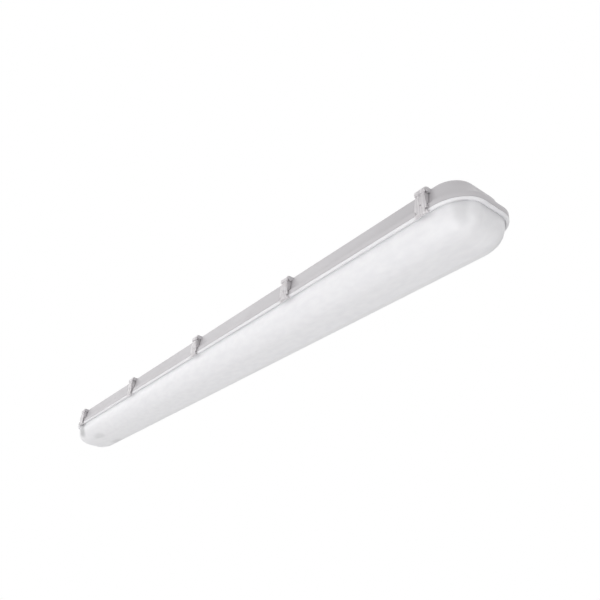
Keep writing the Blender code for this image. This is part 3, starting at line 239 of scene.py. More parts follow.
def ring_shell(name, levels, closed=True):
    """A skin through rings of the plan, with a face at each end, or joined end to end."""
    bpy.ops.object.select_all(action="DESELECT")
    bpy.ops.mesh.primitive_plane_add(size=2)
    piece = bpy.context.object
    piece.name = name
    bpy.ops.object.mode_set(mode="EDIT")
    across, along, height = levels[0]
    reach_l, reach_w, radius_l, radius_w = ring_corner(across, along)
    bpy.ops.transform.resize(value=(reach_l + radius_w, reach_w + radius_w, 1))
    bpy.ops.transform.translate(value=(0, 0, RIM + height))
    bpy.ops.mesh.bevel(offset=radius_w, segments=CORNER_STEPS, affect="VERTICES")
    bpy.ops.mesh.select_all(action="SELECT")
    bpy.ops.mesh.delete(type="ONLY_FACE")
    bpy.ops.mesh.select_all(action="SELECT")
    now = (reach_l, reach_w, radius_w, radius_w, RIM + height)
    start = (reach_l, reach_w, radius_l, radius_w, RIM + height)
    shift_ring(piece, now, start)
    now = start
    for across, along, height in levels[1:]:
        bpy.ops.mesh.extrude_edges_move()
        after = (*ring_corner(across, along), RIM + height)
        shift_ring(piece, now, after)
        now = after
    bpy.ops.mesh.select_all(action="DESELECT")
    bpy.ops.mesh.select_non_manifold()
    if closed:
        bpy.ops.mesh.fill_holes(sides=0)
    else:
        bpy.ops.mesh.bridge_edge_loops()
    bpy.ops.mesh.select_all(action="SELECT")
    bpy.ops.mesh.normals_make_consistent(inside=False)
    bpy.ops.object.mode_set(mode="OBJECT")
    return piece


def round_edges(piece, width):
    """Rounds over the sharp edges of a piece, for good."""
    bpy.context.view_layer.objects.active = piece
    bevel = piece.modifiers.new("edge", "BEVEL")
    bevel.width = width
    bevel.segments = EDGE_SEGMENTS
    bevel.limit_method = "ANGLE"
    bevel.angle_limit = ROUNDED_ABOVE
    bpy.ops.object.modifier_apply(modifier=bevel.name)


def smooth(piece):
    """Shades a piece smooth, apart from its real edges."""
    bpy.ops.object.select_all(action="DESELECT")
    piece.select_set(True)
    bpy.context.view_layer.objects.active = piece
    bpy.ops.object.shade_smooth_by_angle(angle=SMOOTH_BELOW)


def combine(piece, tool, operation):
    """Joins a tool to a piece, cuts it away or keeps what both share, and deletes the tool."""
    bpy.context.view_layer.objects.active = piece
    mix = piece.modifiers.new("combine", "BOOLEAN")
    mix.operation = operation
    mix.solver = "EXACT"
    mix.object = tool
    bpy.ops.object.modifier_apply(modifier=mix.name)
    bpy.data.objects.remove(tool)


def bar(start, end, radius, sides=ROUND_SIDES):
    """A round bar from one point to another, with its place in its mesh."""
    start, end = Vector(start), Vector(end)
    bpy.ops.object.select_all(action="DESELECT")
    bpy.ops.mesh.primitive_cylinder_add(
        vertices=sides, radius=radius, depth=(end - start).length, location=(start + end) / 2,
        rotation=(end - start).to_track_quat("Z", "Y").to_euler())
    bpy.ops.object.transform_apply(location=True, rotation=True, scale=True)
    return bpy.context.object


def block(low, high):
    """A rectangular block between two corners, with its place in its mesh."""
    low, high = Vector(low), Vector(high)
    bpy.ops.object.select_all(action="DESELECT")
    bpy.ops.mesh.primitive_cube_add(size=1, location=(low + high) / 2)
    bpy.context.object.scale = high - low
    bpy.ops.object.transform_apply(location=True, rotation=True, scale=True)
    return bpy.context.object


def pushed_outline(points, push):
    """A closed outline of points, filled and extruded along one vector."""
    bpy.ops.object.select_all(action="DESELECT")
    bpy.ops.mesh.primitive_circle_add(vertices=len(points), radius=1)
    piece = bpy.context.object
    bpy.ops.object.mode_set(mode="EDIT")
    for index, target in enumerate(points):
        pick(piece, lambda p: p.index == index)
        bm = bmesh.from_edit_mesh(piece.data)
        bm.verts.ensure_lookup_table()
        bpy.ops.transform.translate(value=Vector(target) - bm.verts[index].co)
    bpy.ops.mesh.select_all(action="SELECT")
    bpy.ops.mesh.edge_face_add()
    bpy.ops.mesh.extrude_region_move(TRANSFORM_OT_translate={"value": push})
    bpy.ops.mesh.select_all(action="SELECT")
    bpy.ops.mesh.normals_make_consistent(inside=False)
    bpy.ops.object.mode_set(mode="OBJECT")
    return piece


def copy_of(piece, name, shift, turn=0):
    """A copy with its own mesh, turned about Z by degrees and then moved."""
    bpy.ops.object.select_all(action="DESELECT")
    twin = piece.copy()
    twin.data = piece.data.copy()
    twin.name = name
    bpy.context.collection.objects.link(twin)
    twin.select_set(True)
    bpy.context.view_layer.objects.active = twin
    twin.rotation_euler = (0, 0, math.radians(turn))
    twin.location = shift
    bpy.ops.object.transform_apply(location=True, rotation=True, scale=True)
    return twin


def joined(pieces):
    """Several pieces as one object."""
    bpy.ops.object.select_all(action="DESELECT")
    for piece in pieces:
        piece.select_set(True)
    bpy.context.view_layer.objects.active = pieces[0]
    bpy.ops.object.join()
    return pieces[0]


def moulding(
        name, light, dark, roughness, grain, cloud_scale=9, grain_scale=900,
        rough_spread=0.06, metallic=0, transmission=0, subsurface=0, stretch=(1, 1, 1)):
    """A finish of two close shades in soft clouds, with uneven gloss and a fine surface grain."""
    material = bpy.data.materials.new(name)
    material.use_nodes = True
    nodes, links = material.node_tree.nodes, material.node_tree.links
    shader = nodes["Principled BSDF"]
    shader.inputs["Metallic"].default_value = metallic
    shader.inputs["Transmission Weight"].default_value = transmission
    shader.inputs["Subsurface Weight"].default_value = subsurface
    shader.inputs["Subsurface Scale"].default_value = SCATTER_DEPTH
    shader.inputs["Subsurface Radius"].default_value = (1, 1, 1)
    place = nodes.new("ShaderNodeTexCoord")
    fitted = nodes.new("ShaderNodeMapping")
    fitted.inputs["Scale"].default_value = stretch
    links.new(place.outputs["Object"], fitted.inputs["Vector"])
    clouds = nodes.new("ShaderNodeTexNoise")
    clouds.inputs["Scale"].default_value = cloud_scale
    clouds.inputs["Detail"].default_value = CLOUD_DETAIL
    links.new(fitted.outputs[0], clouds.inputs["Vector"])
    shades = nodes.new("ShaderNodeValToRGB")
    shades.color_ramp.elements[0].position = CLOUD_DARK_UP_TO
    shades.color_ramp.elements[0].color = (*dark, 1)
    shades.color_ramp.elements[1].position = CLOUD_LIGHT_FROM
    shades.color_ramp.elements[1].color = (*light, 1)
    links.new(clouds.outputs["Fac"], shades.inputs["Fac"])
    links.new(shades.outputs["Color"], shader.inputs["Base Color"])
    wear = nodes.new("ShaderNodeTexNoise")
    wear.inputs["Scale"].default_value = cloud_scale * WEAR_FINENESS
    wear.inputs["Detail"].default_value = WEAR_DETAIL
    links.new(fitted.outputs[0], wear.inputs["Vector"])
    gloss = nodes.new("ShaderNodeMapRange")
    gloss.inputs["To Min"].default_value = roughness - rough_spread
    gloss.inputs["To Max"].default_value = roughness + rough_spread
    links.new(wear.outputs["Fac"], gloss.inputs["Value"])
    links.new(gloss.outputs["Result"], shader.inputs["Roughness"])
    fine = nodes.new("ShaderNodeTexNoise")
    fine.inputs["Scale"].default_value = grain_scale
    fine.inputs["Detail"].default_value = GRAIN_DETAIL
    links.new(fitted.outputs[0], fine.inputs["Vector"])
    relief = nodes.new("ShaderNodeBump")
    relief.inputs["Strength"].default_value = grain
    relief.inputs["Distance"].default_value = GRAIN_HEIGHT
    links.new(fine.outputs["Fac"], relief.inputs["Height"])
    links.new(relief.outputs["Normal"], shader.inputs["Normal"])
    return material


def dress(piece, material, body, slot, *nodes):
    """Gives a piece its finish, puts it on a body and lets it stand for CAD nodes."""
    piece.data.materials.clear()
    piece.data.materials.append(material)
    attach(piece, body)
    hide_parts(*nodes)


def back_levels(wall):
    """Rings of the rounded edge of the housing's back, or of its inner face."""
    side = WALL_STEP + SIDE_TAPER + BACK_RADIUS
    end = END_STEP + END_TAPER + BACK_RADIUS
    radius = BACK_RADIUS - wall
    levels = []
    for step in range(BACK_STEPS + 1):
        angle = math.radians(90 * step / BACK_STEPS)
        out = radius * math.cos(angle)
        height = HOUSING_HEIGHT - BACK_RADIUS + radius * math.sin(angle)
        levels.append((side - out, end - out, height))
    return levels


housing = ring_shell("housing_shell", list(reversed(back_levels(HOUSING_WALL))) + [
    (WALL_STEP + HOUSING_WALL, END_STEP + HOUSING_WALL, SKIRT_TOP),
    (LEG_INNER, LEG_INNER, SKIRT_TOP),
    (LEG_INNER, LEG_INNER, SKIRT_BOTTOM),
    (LEG_OUTER, LEG_OUTER, SKIRT_BOTTOM),
    (LEG_OUTER, LEG_OUTER, CHANNEL_TOP),
    (SKIRT_WALL, SKIRT_WALL, CHANNEL_TOP),
    (SKIRT_WALL, SKIRT_WALL, SKIRT_BOTTOM),
    (0, 0, SKIRT_BOTTOM),
    (0, 0, SKIRT_TOP - SKIRT_CHAMFER),
    (SKIRT_CHAMFER, SKIRT_CHAMFER, SKIRT_TOP),
    (WALL_STEP, END_STEP, SKIRT_TOP)] + back_levels(0))
round_edges(housing, MOULDED_EDGE)

ear = [(EAR_AT, -EAR_WEB, -EAR_RADIUS), (EAR_AT, -EAR_WEB, EAR_RADIUS)]
for step in range(ROUND_SIDES // 2 + 1):
    angle = math.radians(90 - 180 * step / (ROUND_SIDES // 2))
    ear.append((EAR_AT, EAR_RADIUS * math.cos(angle), EAR_RADIUS * math.sin(angle)))
hinge = pushed_outline(ear, (EAR_THICKNESS, 0, 0))
round_edges(hinge, MOULDED_EDGE)
left_ear = copy_of(hinge, "left_ear", shift=(-EAR_AT * 2 - EAR_THICKNESS, 0, 0))
rod_end = EAR_AT + EAR_THICKNESS / 2
combine(hinge, left_ear, "UNION")
combine(hinge, bar((-rod_end, 0, 0), (rod_end, 0, 0), ROD_RADIUS), "UNION")
hinges = []
for side in (-1, 1):
    for index in CLIP_STEPS:
        spot = (index * CLIP_SPACING, side * HINGE_OUT, RIM + HINGE_HEIGHT)
        hinges.append(copy_of(hinge, "hinge", shift=spot, turn=0 if side > 0 else 180))
bpy.data.objects.remove(hinge)
combine(housing, joined(hinges), "UNION")

for x in PAD_PLACES:
    back = RIM + HOUSING_HEIGHT
    half_pad = [
        (PAD_STEM_HALF, back - HOUSING_WALL / 2), (PAD_STEM_HALF, back + PAD_STEM),
        (PAD_HEAD_HALF, back + PAD_STEM), (PAD_HEAD_HALF, back + PAD_STEM + PAD_HEAD)]
    outline = half_pad + [(-y, z) for y, z in reversed(half_pad)]
    pad = pushed_outline(
        [(x - PAD_HALF_LENGTH, y, z) for y, z in outline], (PAD_HALF_LENGTH * 2, 0, 0))
    round_edges(pad, MOULDED_EDGE)
    combine(housing, pad, "UNION")

post_top = RIM + HOUSING_HEIGHT - HOUSING_WALL / 2
post_low = RIM + POST_LOW
for x in POST_PLACES:
    combine(housing, bar((x, 0, post_low), (x, 0, post_top), POST_RADIUS), "UNION")
    plate_top = post_low + POST_PLATE
    combine(housing, bar(
        (x, 0, plate_top), (x, 0, RIM + HOUSING_HEIGHT - HOUSING_WALL),
        POST_HOLLOW_RADIUS), "DIFFERENCE")
    combine(housing, bar(
        (x, 0, post_low - OVERRUN), (x, 0, plate_top + OVERRUN), POST_HOLE_RADIUS), "DIFFERENCE")
    half_w, half_l = POST_SLOT
    combine(housing, block(
        (x - half_w, -half_l, post_low - OVERRUN),
        (x + half_w, half_l, plate_top + OVERRUN)), "DIFFERENCE")

gland_z = RIM + GLAND_HEIGHT
boss = bar((GLAND_FACE, 0, gland_z), (GLAND_FACE + GLAND_BOSS_LENGTH, 0, gland_z),
           GLAND_BOSS_RADIUS, ROUND_SIDES * 2)
round_edges(boss, MOULDED_EDGE * 2)
combine(housing, boss, "UNION")
combine(housing, bar(
    (GLAND_FACE + GLAND_PANEL, 0, gland_z), (GLAND_FACE + GLAND_POCKET_LENGTH, 0, gland_z),
    GLAND_POCKET_RADIUS, ROUND_SIDES * 2), "DIFFERENCE")
combine(housing, bar(
    (GLAND_FACE - OVERRUN, 0, gland_z), (GLAND_FACE + GLAND_PANEL + OVERRUN, 0, gland_z),
    GLAND_HOLE_RADIUS), "DIFFERENCE")
smooth(housing)
grey_shell = moulding(
    "grey_shell", light=(0.50, 0.485, 0.50), dark=(0.455, 0.44, 0.455), roughness=0.42, grain=0.10)
dress(housing, grey_shell, "root", "grey_shell", "housing")

# Gasket: a poured foam ring that lines the top of the housing's channel, its skin slightly
# porous, and pressed by the diffuser's rib.
GASKET_OUTER = 0.0018
GASKET_INNER = 0.0064
GASKET_LOW = 0.0063
GASKET_TOP = 0.0089
FOAM_EDGE = 0.0005

gasket = ring_shell("gasket_ring", [
    (GASKET_OUTER, GASKET_OUTER, GASKET_LOW), (GASKET_OUTER, GASKET_OUTER, GASKET_TOP),
    (GASKET_INNER, GASKET_INNER, GASKET_TOP), (GASKET_INNER, GASKET_INNER, GASKET_LOW)],
    closed=False)
round_edges(gasket, FOAM_EDGE)
smooth(gasket)
foam = moulding(
    "gasket_foam", light=(0.78, 0.78, 0.77), dark=(0.70, 0.70, 0.69), roughness=0.88,
    cloud_scale=300, grain_scale=1400, grain=0.5, rough_spread=0.05)
dress(gasket, foam, "root", "gasket_foam", "gasket")

# Diffuser: an injection moulded bowl in milky polycarbonate, with soft darker patches of painted
# shade where the lampholders stand behind it. Its flange has a bevelled edge for the clips and a
# rib for the gasket.
FLANGE_WIDTH = 0.0058
FLANGE_THICKNESS = 0.0026
EDGE_RUN = 0.0023
EDGE_RISE = 0.0017
GROOVE_WIDTH = 0.0014
GROOVE_DEPTH = 0.0014
RIB_OUT = 0.0033
RIB_IN = 0.0049
RIB_TOP = 0.0060
DIFFUSER_WALL = 0.0020
DIFFUSER_DEPTH = 0.0373
DIFFUSER_ROUNDNESS = 2.56
DIFFUSER_FLAT_SHARE = 0.4
DIFFUSER_STEPS = 24
PAINTED_LAMPHOLDER_SHADES = (
    # place along and across, reach each way, share of the colour taken away as painted shade
    ((0.6150, 0.0375), (0.0085, 0.0085), 0.13),
    ((-0.6150, 0.0375), (0.0085, 0.0085), 0.13),
    ((-0.5770, 0.0480), (0.0140, 0.0090), 0.38),
    ((-0.5140, 0.0225), (0.0220, 0.0080), 0.17),
)
PAINTED_SHADE_FULL_WITHIN = 0.4
PAINTED_SHADE_GONE_BEYOND = 1.6
MIRRORED = (1, -1, 1)


def bowl_levels(inset, depth):
    """Rings of the bowl from its rim down to the flat along its bottom, a superellipse."""
    power = 2 / DIFFUSER_ROUNDNESS
    last = math.acos(DIFFUSER_FLAT_SHARE ** (1 / power))
    half = HALF_WIDTH - inset
    levels = []
    for step in range(DIFFUSER_STEPS + 1):
        angle = last * step / DIFFUSER_STEPS
        drawn_in = inset + half * (1 - math.cos(angle) ** power)
        levels.append((drawn_in, drawn_in, -depth * math.sin(angle) ** power))
    return levels


bowl_inset = FLANGE_WIDTH + DIFFUSER_WALL
inside = list(reversed(bowl_levels(bowl_inset, DIFFUSER_DEPTH - DIFFUSER_WALL)))
groove = FLANGE_WIDTH - GROOVE_WIDTH
flange = [
    (bowl_inset, FLANGE_THICKNESS), (RIB_IN, FLANGE_THICKNESS), (RIB_IN, RIB_TOP),
    (RIB_OUT, RIB_TOP), (RIB_OUT, FLANGE_THICKNESS), (0, FLANGE_THICKNESS), (0, EDGE_RISE),
    (EDGE_RUN, 0), (groove, 0), (groove, GROOVE_DEPTH), (FLANGE_WIDTH, GROOVE_DEPTH)]
diffuser = ring_shell(
    "diffuser_bowl", inside + [(inset, inset, height) for inset, height in flange]
    + bowl_levels(FLANGE_WIDTH, DIFFUSER_DEPTH))
round_edges(diffuser, MOULDED_EDGE)
smooth(diffuser)
milky_shell = moulding(
    "milky_shell", light=(0.84, 0.835, 0.85), dark=(0.80, 0.795, 0.815), roughness=0.38,
    cloud_scale=110, grain=0.05, transmission=0.10, subsurface=0.15, stretch=(0.5, 1, 1))
nodes, links = milky_shell.node_tree.nodes, milky_shell.node_tree.links
shader = nodes["Principled BSDF"]
clouds_and_painted_shade = shader.inputs["Base Color"].links[0].from_socket
plain = nodes["Texture Coordinate"].outputs["Object"]


def worked(operation, first, second=None):
    """Adds a vector step to the diffuser's material."""
    step = nodes.new("ShaderNodeVectorMath")
    step.operation = operation
    links.new(first, step.inputs[0])
    if isinstance(second, tuple):
        step.inputs[1].default_value = second
    elif second:
        links.new(second, step.inputs[1])
    return step.outputs["Value" if operation == "LENGTH" else "Vector"]


# Each patch is painted shade: it darkens the colour where a lampholder stands behind the milky
# plastic.
folded = worked("MAXIMUM", plain, worked("MULTIPLY", plain, MIRRORED))
for place, reach, depth in PAINTED_LAMPHOLDER_SHADES:
    away = worked("SUBTRACT", folded, (*place, 0))
    level = worked("MULTIPLY", away, (1 / reach[0], 1 / reach[1], 0))
    painted_dimming = nodes.new("ShaderNodeMapRange")
    painted_dimming.interpolation_type = "SMOOTHSTEP"
    painted_dimming.inputs["From Min"].default_value = PAINTED_SHADE_FULL_WITHIN
    painted_dimming.inputs["From Max"].default_value = PAINTED_SHADE_GONE_BEYOND
    painted_dimming.inputs["To Min"].default_value = 1 - depth
    painted_dimming.inputs["To Max"].default_value = 1
    links.new(worked("LENGTH", level), painted_dimming.inputs["Value"])
    shadowed = nodes.new("ShaderNodeHueSaturation")
    links.new(painted_dimming.outputs["Result"], shadowed.inputs["Value"])
    links.new(clouds_and_painted_shade, shadowed.inputs["Color"])
    clouds_and_painted_shade = shadowed.outputs["Color"]
links.new(clouds_and_painted_shade, shader.inputs["Base Color"])
dress(diffuser, milky_shell, "diffuser", "milky_shell", "diffuser")

# Clips: ten snap clips in translucent nylon, each moulded in one piece. The roll at the top
# snaps round the housing's rod, two cheeks stiffen the back, and the foot at the bottom hooks
# under the diffuser's edge.
ROLL_RADIUS = 0.0043
CLIP_WALL = 0.0018
ROLL_STEPS = 24
ROLL_TURN = math.radians(240)
CLEARANCE = 0.0003
RIM_CLEARANCE = 0.0009
LIP_HALF = 0.0084
NECK_HALF = 0.0070
SHOULDER_HALF = 0.0075
CLIP_FOOT_HALF = 0.0102
NOTCH_DEPTH = 0.0033
NOTCH_HEIGHT = 0.0034
NOTCH_BASE = 0.0008
FOOT_DEPTH = 0.0030
FOOT_EDGE = 0.0018
BAND_HEIGHT = 0.0050
BAND_RECESS = 0.0012
CLIP_HOLE_RADIUS = 0.0013
CLIP_HOLE_HEIGHT = 0.0110
CLIP_EDGE = 0.0003
CHEEK_TOP_OUT = 0.0068
CHEEK_LOW_OUT = 0.0089
CHEEK_THICKNESS = 0.0009
CHEEK_TOP = -0.0034
CHEEK_LOW = -0.0206
CHEEK_TOP_DEPTH = 0.0046
CHEEK_LOW_DEPTH = 0.0025
CLIP_REACH = 0.0100

rim_in = HALF_WIDTH + RIM_CLEARANCE - HINGE_OUT
rim_out = rim_in + CLIP_WALL
corner_out = HALF_WIDTH - HINGE_OUT
tip = corner_out - EDGE_RUN + CLEARANCE
gap_down = CLEARANCE * math.hypot(EDGE_RISE, EDGE_RUN) / EDGE_RUN


def nose(out):
    """Height of the foot's upper face, just clear of the diffuser's bevelled edge."""
    return EDGE_RISE - (corner_out - out) * EDGE_RISE / EDGE_RUN - gap_down - HINGE_HEIGHT


inner_radius = ROLL_RADIUS - CLIP_WALL
band_top = -ROLL_RADIUS - CLEARANCE
band_low = band_top - BAND_HEIGHT
foot_low = -FOOT_DEPTH - HINGE_HEIGHT
section = [
    (ROLL_RADIUS, 0), (ROLL_RADIUS, band_top), (ROLL_RADIUS - BAND_RECESS, band_top),
    (ROLL_RADIUS - BAND_RECESS, band_low), (ROLL_RADIUS, band_low), (rim_out, -HINGE_HEIGHT),
    (rim_out, foot_low + FOOT_EDGE), (rim_out - FOOT_EDGE, foot_low), (tip + FOOT_EDGE, foot_low),
    (tip, nose(tip) - FOOT_EDGE / 2), (tip, nose(tip)), (rim_in, nose(rim_in)),
    (inner_radius, band_low), (inner_radius, band_top)]
for radius, steps in ((inner_radius, range(ROLL_STEPS + 1)),
                      (ROLL_RADIUS, range(ROLL_STEPS, 0, -1))):
    for step in steps:
        angle = ROLL_TURN * step / ROLL_STEPS
        section.append((radius * math.cos(angle), radius * math.sin(angle)))
wide = CLIP_FOOT_HALF + OVERRUN
clip = pushed_outline([(-wide, y, z) for y, z in section], (wide * 2, 0, 0))

lip_low = -ROLL_RADIUS
neck_low = lip_low - CLEARANCE - BAND_HEIGHT
notch_low = NOTCH_BASE - HINGE_HEIGHT
notch_top = notch_low + NOTCH_HEIGHT
notch_in = CLIP_FOOT_HALF - NOTCH_DEPTH
half_front = [
    (LIP_HALF, ROLL_RADIUS + OVERRUN), (LIP_HALF, lip_low), (NECK_HALF, lip_low - CLEARANCE),
    (NECK_HALF, neck_low), (SHOULDER_HALF, neck_low - CLEARANCE), (CLIP_FOOT_HALF, notch_top),
    (notch_in, notch_top), (notch_in, notch_low), (CLIP_FOOT_HALF, notch_low),
    (CLIP_FOOT_HALF, foot_low - OVERRUN)]
front = half_front + [(-x, z) for x, z in reversed(half_front)]
front_tool = pushed_outline([(x, -CLIP_REACH, z) for x, z in front], (0, CLIP_REACH * 2, 0))
combine(clip, front_tool, "INTERSECT")
cheek = [
    (inner_radius + CLEARANCE, CHEEK_TOP), (rim_in + CLIP_WALL, CHEEK_LOW),
    (-CHEEK_LOW_DEPTH, CHEEK_LOW), (-CHEEK_TOP_DEPTH, CHEEK_TOP)]
flare = [
    (CHEEK_TOP_OUT, CHEEK_TOP + OVERRUN), (CHEEK_TOP_OUT, CHEEK_TOP), (CHEEK_LOW_OUT, CHEEK_LOW),
    (CHEEK_LOW_OUT, CHEEK_LOW - OVERRUN)]
flare += [(x - CHEEK_THICKNESS, z) for x, z in reversed(flare)]
for side in (-1, 1):
    cheek_plate = pushed_outline(
        [(side * x, -CLIP_REACH, z) for x, z in flare], (0, CLIP_REACH * 2, 0))
    cheek_tool = pushed_outline([(-CLIP_REACH, y, z) for y, z in cheek], (CLIP_REACH * 2, 0, 0))
    combine(cheek_plate, cheek_tool, "INTERSECT")
    combine(clip, cheek_plate, "UNION")
hole_z = CLIP_HOLE_HEIGHT - HINGE_HEIGHT
combine(clip, bar((0, 0, hole_z), (0, CLIP_REACH, hole_z), CLIP_HOLE_RADIUS), "DIFFERENCE")
round_edges(clip, CLIP_EDGE)
clip_nylon = moulding(
    "clip_nylon", light=(0.87, 0.845, 0.86), dark=(0.66, 0.635, 0.65), roughness=0.30,
    cloud_scale=420, grain=0.02, transmission=0.42, stretch=(1, 0.2, 0.05))
number = 0
for side in (-1, 1):
    for index in CLIP_STEPS:
        number += 1
        spot = (index * CLIP_SPACING, side * HINGE_OUT, RIM + HINGE_HEIGHT)
        twin = copy_of(clip, f"snap_clip_{number:02d}", spot, turn=0 if side > 0 else 180)
        smooth(twin)
        dress(twin, clip_nylon, f"clip_{number:02d}", "clip_plastic", f"clip_{number:02d}")
bpy.data.objects.remove(clip)

# Lamps: two glass tubes, white with phosphor, each end closed by a pressed aluminium cap. The
# two pins of each cap sit in a lampholder's rotor.
LAMP_LENGTH = 1.1994
LAMP_OFFSET = 0.025
LAMP_HEIGHT = -0.0130
TUBE_RADIUS = 0.0127
TUBE_WALL = 0.0008
TUBE_SIDES = 48
CAP_SLEEVE = 0.0112
CAP_WALL = 0.0006
CAP_END = 0.0019
CAP_EDGE = 0.0003
CAP_CENTRE_SHARE = 0.3
PIN_RADIUS = 0.0012
PIN_SPACING = 0.0127
PIN_LENGTH = 0.0071
PIN_EDGE = 0.0004
PIN_SIDES = 16
MERGE_BELOW = 0.000001


def turned(name, profile, sides):
    """Rings of (radius, height) about Z, each drawn on from the last; its ends stay open."""
    bpy.ops.object.select_all(action="DESELECT")
    radius, height = profile[0]
    bpy.ops.mesh.primitive_circle_add(vertices=sides, radius=radius)
    piece = bpy.context.object
    piece.name = name
    bpy.ops.object.mode_set(mode="EDIT")
    bpy.ops.transform.translate(value=(0, 0, height))
    for wide, high in profile[1:]:
        bpy.ops.mesh.extrude_edges_move()
        bpy.ops.transform.resize(
            value=(wide / radius, wide / radius, 1), center_override=(0, 0, height))
        bpy.ops.transform.translate(value=(0, 0, high - height))
        radius, height = wide, high
    return piece


def fill_ends(piece, sides, ring):
    """Closes a turned piece, end to end as a ring or with a flat face at each end."""
    bm = bmesh.from_edit_mesh(piece.data)
    last = len(bm.verts) - sides
    if ring:
        pick(piece, lambda p: p.index < sides or p.index >= last)
        bpy.ops.mesh.bridge_edge_loops()
    else:
        bpy.ops.mesh.edge_face_add()
        pick(piece, lambda p: p.index < sides)
        bpy.ops.mesh.edge_face_add()
    bpy.ops.mesh.select_all(action="SELECT")
    bpy.ops.mesh.normals_make_consistent(inside=False)
    bpy.ops.object.mode_set(mode="OBJECT")


def merge_points(piece):
    """Merges the points that lie on one another and turns the faces outwards."""
    bpy.context.view_layer.objects.active = piece
    bpy.ops.object.mode_set(mode="EDIT")
    bpy.ops.mesh.select_all(action="SELECT")
    bpy.ops.mesh.remove_doubles(threshold=MERGE_BELOW)
    bpy.ops.mesh.normals_make_consistent(inside=False)
    bpy.ops.object.mode_set(mode="OBJECT")


def lay_down(piece, place, turn):
    """Turns a piece made about Z by radians about each axis, and moves it, for good."""
    bpy.ops.object.select_all(action="DESELECT")
    piece.select_set(True)
    bpy.context.view_layer.objects.active = piece
    piece.rotation_euler = turn
    piece.location = place
    bpy.ops.object.transform_apply(location=True, rotation=True, scale=True)


phosphor_glass = moulding(
    "phosphor_glass", light=(0.92, 0.92, 0.90), dark=(0.89, 0.89, 0.87), roughness=0.22,
    cloud_scale=30, grain=0.02)
aluminium = moulding(
    "cap_aluminium", light=(0.72, 0.72, 0.73), dark=(0.66, 0.66, 0.67), roughness=0.36,
    cloud_scale=160, grain_scale=1500, grain=0.06, metallic=1)
for lamp_name, y in (("front", -LAMP_OFFSET), ("rear", LAMP_OFFSET)):
    half = LAMP_LENGTH / 2 - CAP_END - CLEARANCE
    inner = TUBE_RADIUS - TUBE_WALL
    tube = turned(f"glass_{lamp_name}", [
        (TUBE_RADIUS, -half), (TUBE_RADIUS, half), (inner, half), (inner, -half)], TUBE_SIDES)
    fill_ends(tube, TUBE_SIDES, ring=True)
    lay_down(tube, (0, y, RIM + LAMP_HEIGHT), (0, math.pi / 2, 0))
    smooth(tube)
    dress(tube, phosphor_glass, f"lamp_{lamp_name}", "tube_glass", f"lamp_tube_{lamp_name}")
    for side_name, end in (("left", -1), ("right", 1)):
        bore = TUBE_RADIUS + CLEARANCE
        cap = turned(f"cap_{lamp_name}_{side_name}", [
            (bore * CAP_CENTRE_SHARE, 0), (bore + CAP_WALL, 0), (bore + CAP_WALL, -CAP_SLEEVE),
            (bore, -CAP_SLEEVE), (bore, -CAP_END), (bore * CAP_CENTRE_SHARE, -CAP_END)],
            TUBE_SIDES)
        fill_ends(cap, TUBE_SIDES, ring=False)
        round_edges(cap, CAP_EDGE)
        for pin in (-PIN_SPACING / 2, PIN_SPACING / 2):
            stub = bar((0, pin, -CAP_END / 2), (0, pin, PIN_LENGTH), PIN_RADIUS, PIN_SIDES)
            round_edges(stub, PIN_EDGE)
            combine(cap, stub, "UNION")
        merge_points(cap)
        lay_down(
            cap, (end * LAMP_LENGTH / 2, y, RIM + LAMP_HEIGHT), (0, end * math.pi / 2, 0))
        smooth(cap)
        dress(cap, aluminium, f"lamp_{lamp_name}", "cap_metal",
              f"lamp_cap_{lamp_name}_{side_name}")

# Gear tray: one sheet of white painted steel with folded edges. It hangs on the housing's posts
# and carries the lampholders and the rest of the gear.
FOLD_EDGE = 0.0002
FLAT_WITHIN = math.radians(1)


def finer(node, name, body, slot, material, edge=FOLD_EDGE):
    """A copy of a solid with its triangles merged, its flats whole and its edges rounded."""
    bpy.ops.object.select_all(action="DESELECT")
    piece = bpy.data.objects.new(name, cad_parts[node].data.copy())
    bpy.context.collection.objects.link(piece)
    piece.select_set(True)
    bpy.context.view_layer.objects.active = piece
    bpy.ops.object.mode_set(mode="EDIT")
    bpy.ops.mesh.select_all(action="SELECT")
    bpy.ops.mesh.remove_doubles(threshold=MERGE_BELOW)
    bpy.ops.mesh.dissolve_limited(angle_limit=FLAT_WITHIN)
    bpy.ops.object.mode_set(mode="OBJECT")
    if edge:
        round_edges(piece, edge)
    smooth(piece)
    dress(piece, material, body, slot, node)


white_paint = moulding(
    "white_paint", light=(0.86, 0.86, 0.85), dark=(0.83, 0.83, 0.82), roughness=0.34,
    cloud_scale=20, grain_scale=1100, grain=0.12)
finer("gear_tray", "tray_pan", "root", "white_steel", white_paint, edge=0)

# Tray fasteners: four quarter-turn studs in white plastic. Each goes through the tray and the
# slot of a post, and holds the tray up once it is turned.
white_plastic = moulding(
    "white_plastic", light=(0.84, 0.84, 0.82), dark=(0.81, 0.81, 0.79), roughness=0.4,
    cloud_scale=60, grain=0.06)
for number in (1, 2, 3, 4):
    node = f"tray_fastener_{number}"
    finer(node, f"quarter_turn_{number}", node, "white_plastic", white_plastic)

# Lampholders: four holders moulded in white plastic and fixed to the tray. Each has a rotor,
# slightly darker, that takes the lamp's two pins and turns with the lamp.
HOLDER_PLACES = ("front_left", "front_right", "rear_left", "rear_right")

rotor_plastic = moulding(
    "rotor_plastic", light=(0.78, 0.78, 0.76), dark=(0.73, 0.73, 0.71), roughness=0.42,
    cloud_scale=80, grain=0.06)
for place in HOLDER_PLACES:
    lamp_body = "lamp_" + place.split("_")[0]
    finer(f"lampholder_{place}", f"holder_{place}", "root", "white_plastic", white_plastic)
    finer(f"rotor_{place}", f"rotor_in_{place}", lamp_body, "rotor_plastic", rotor_plastic)

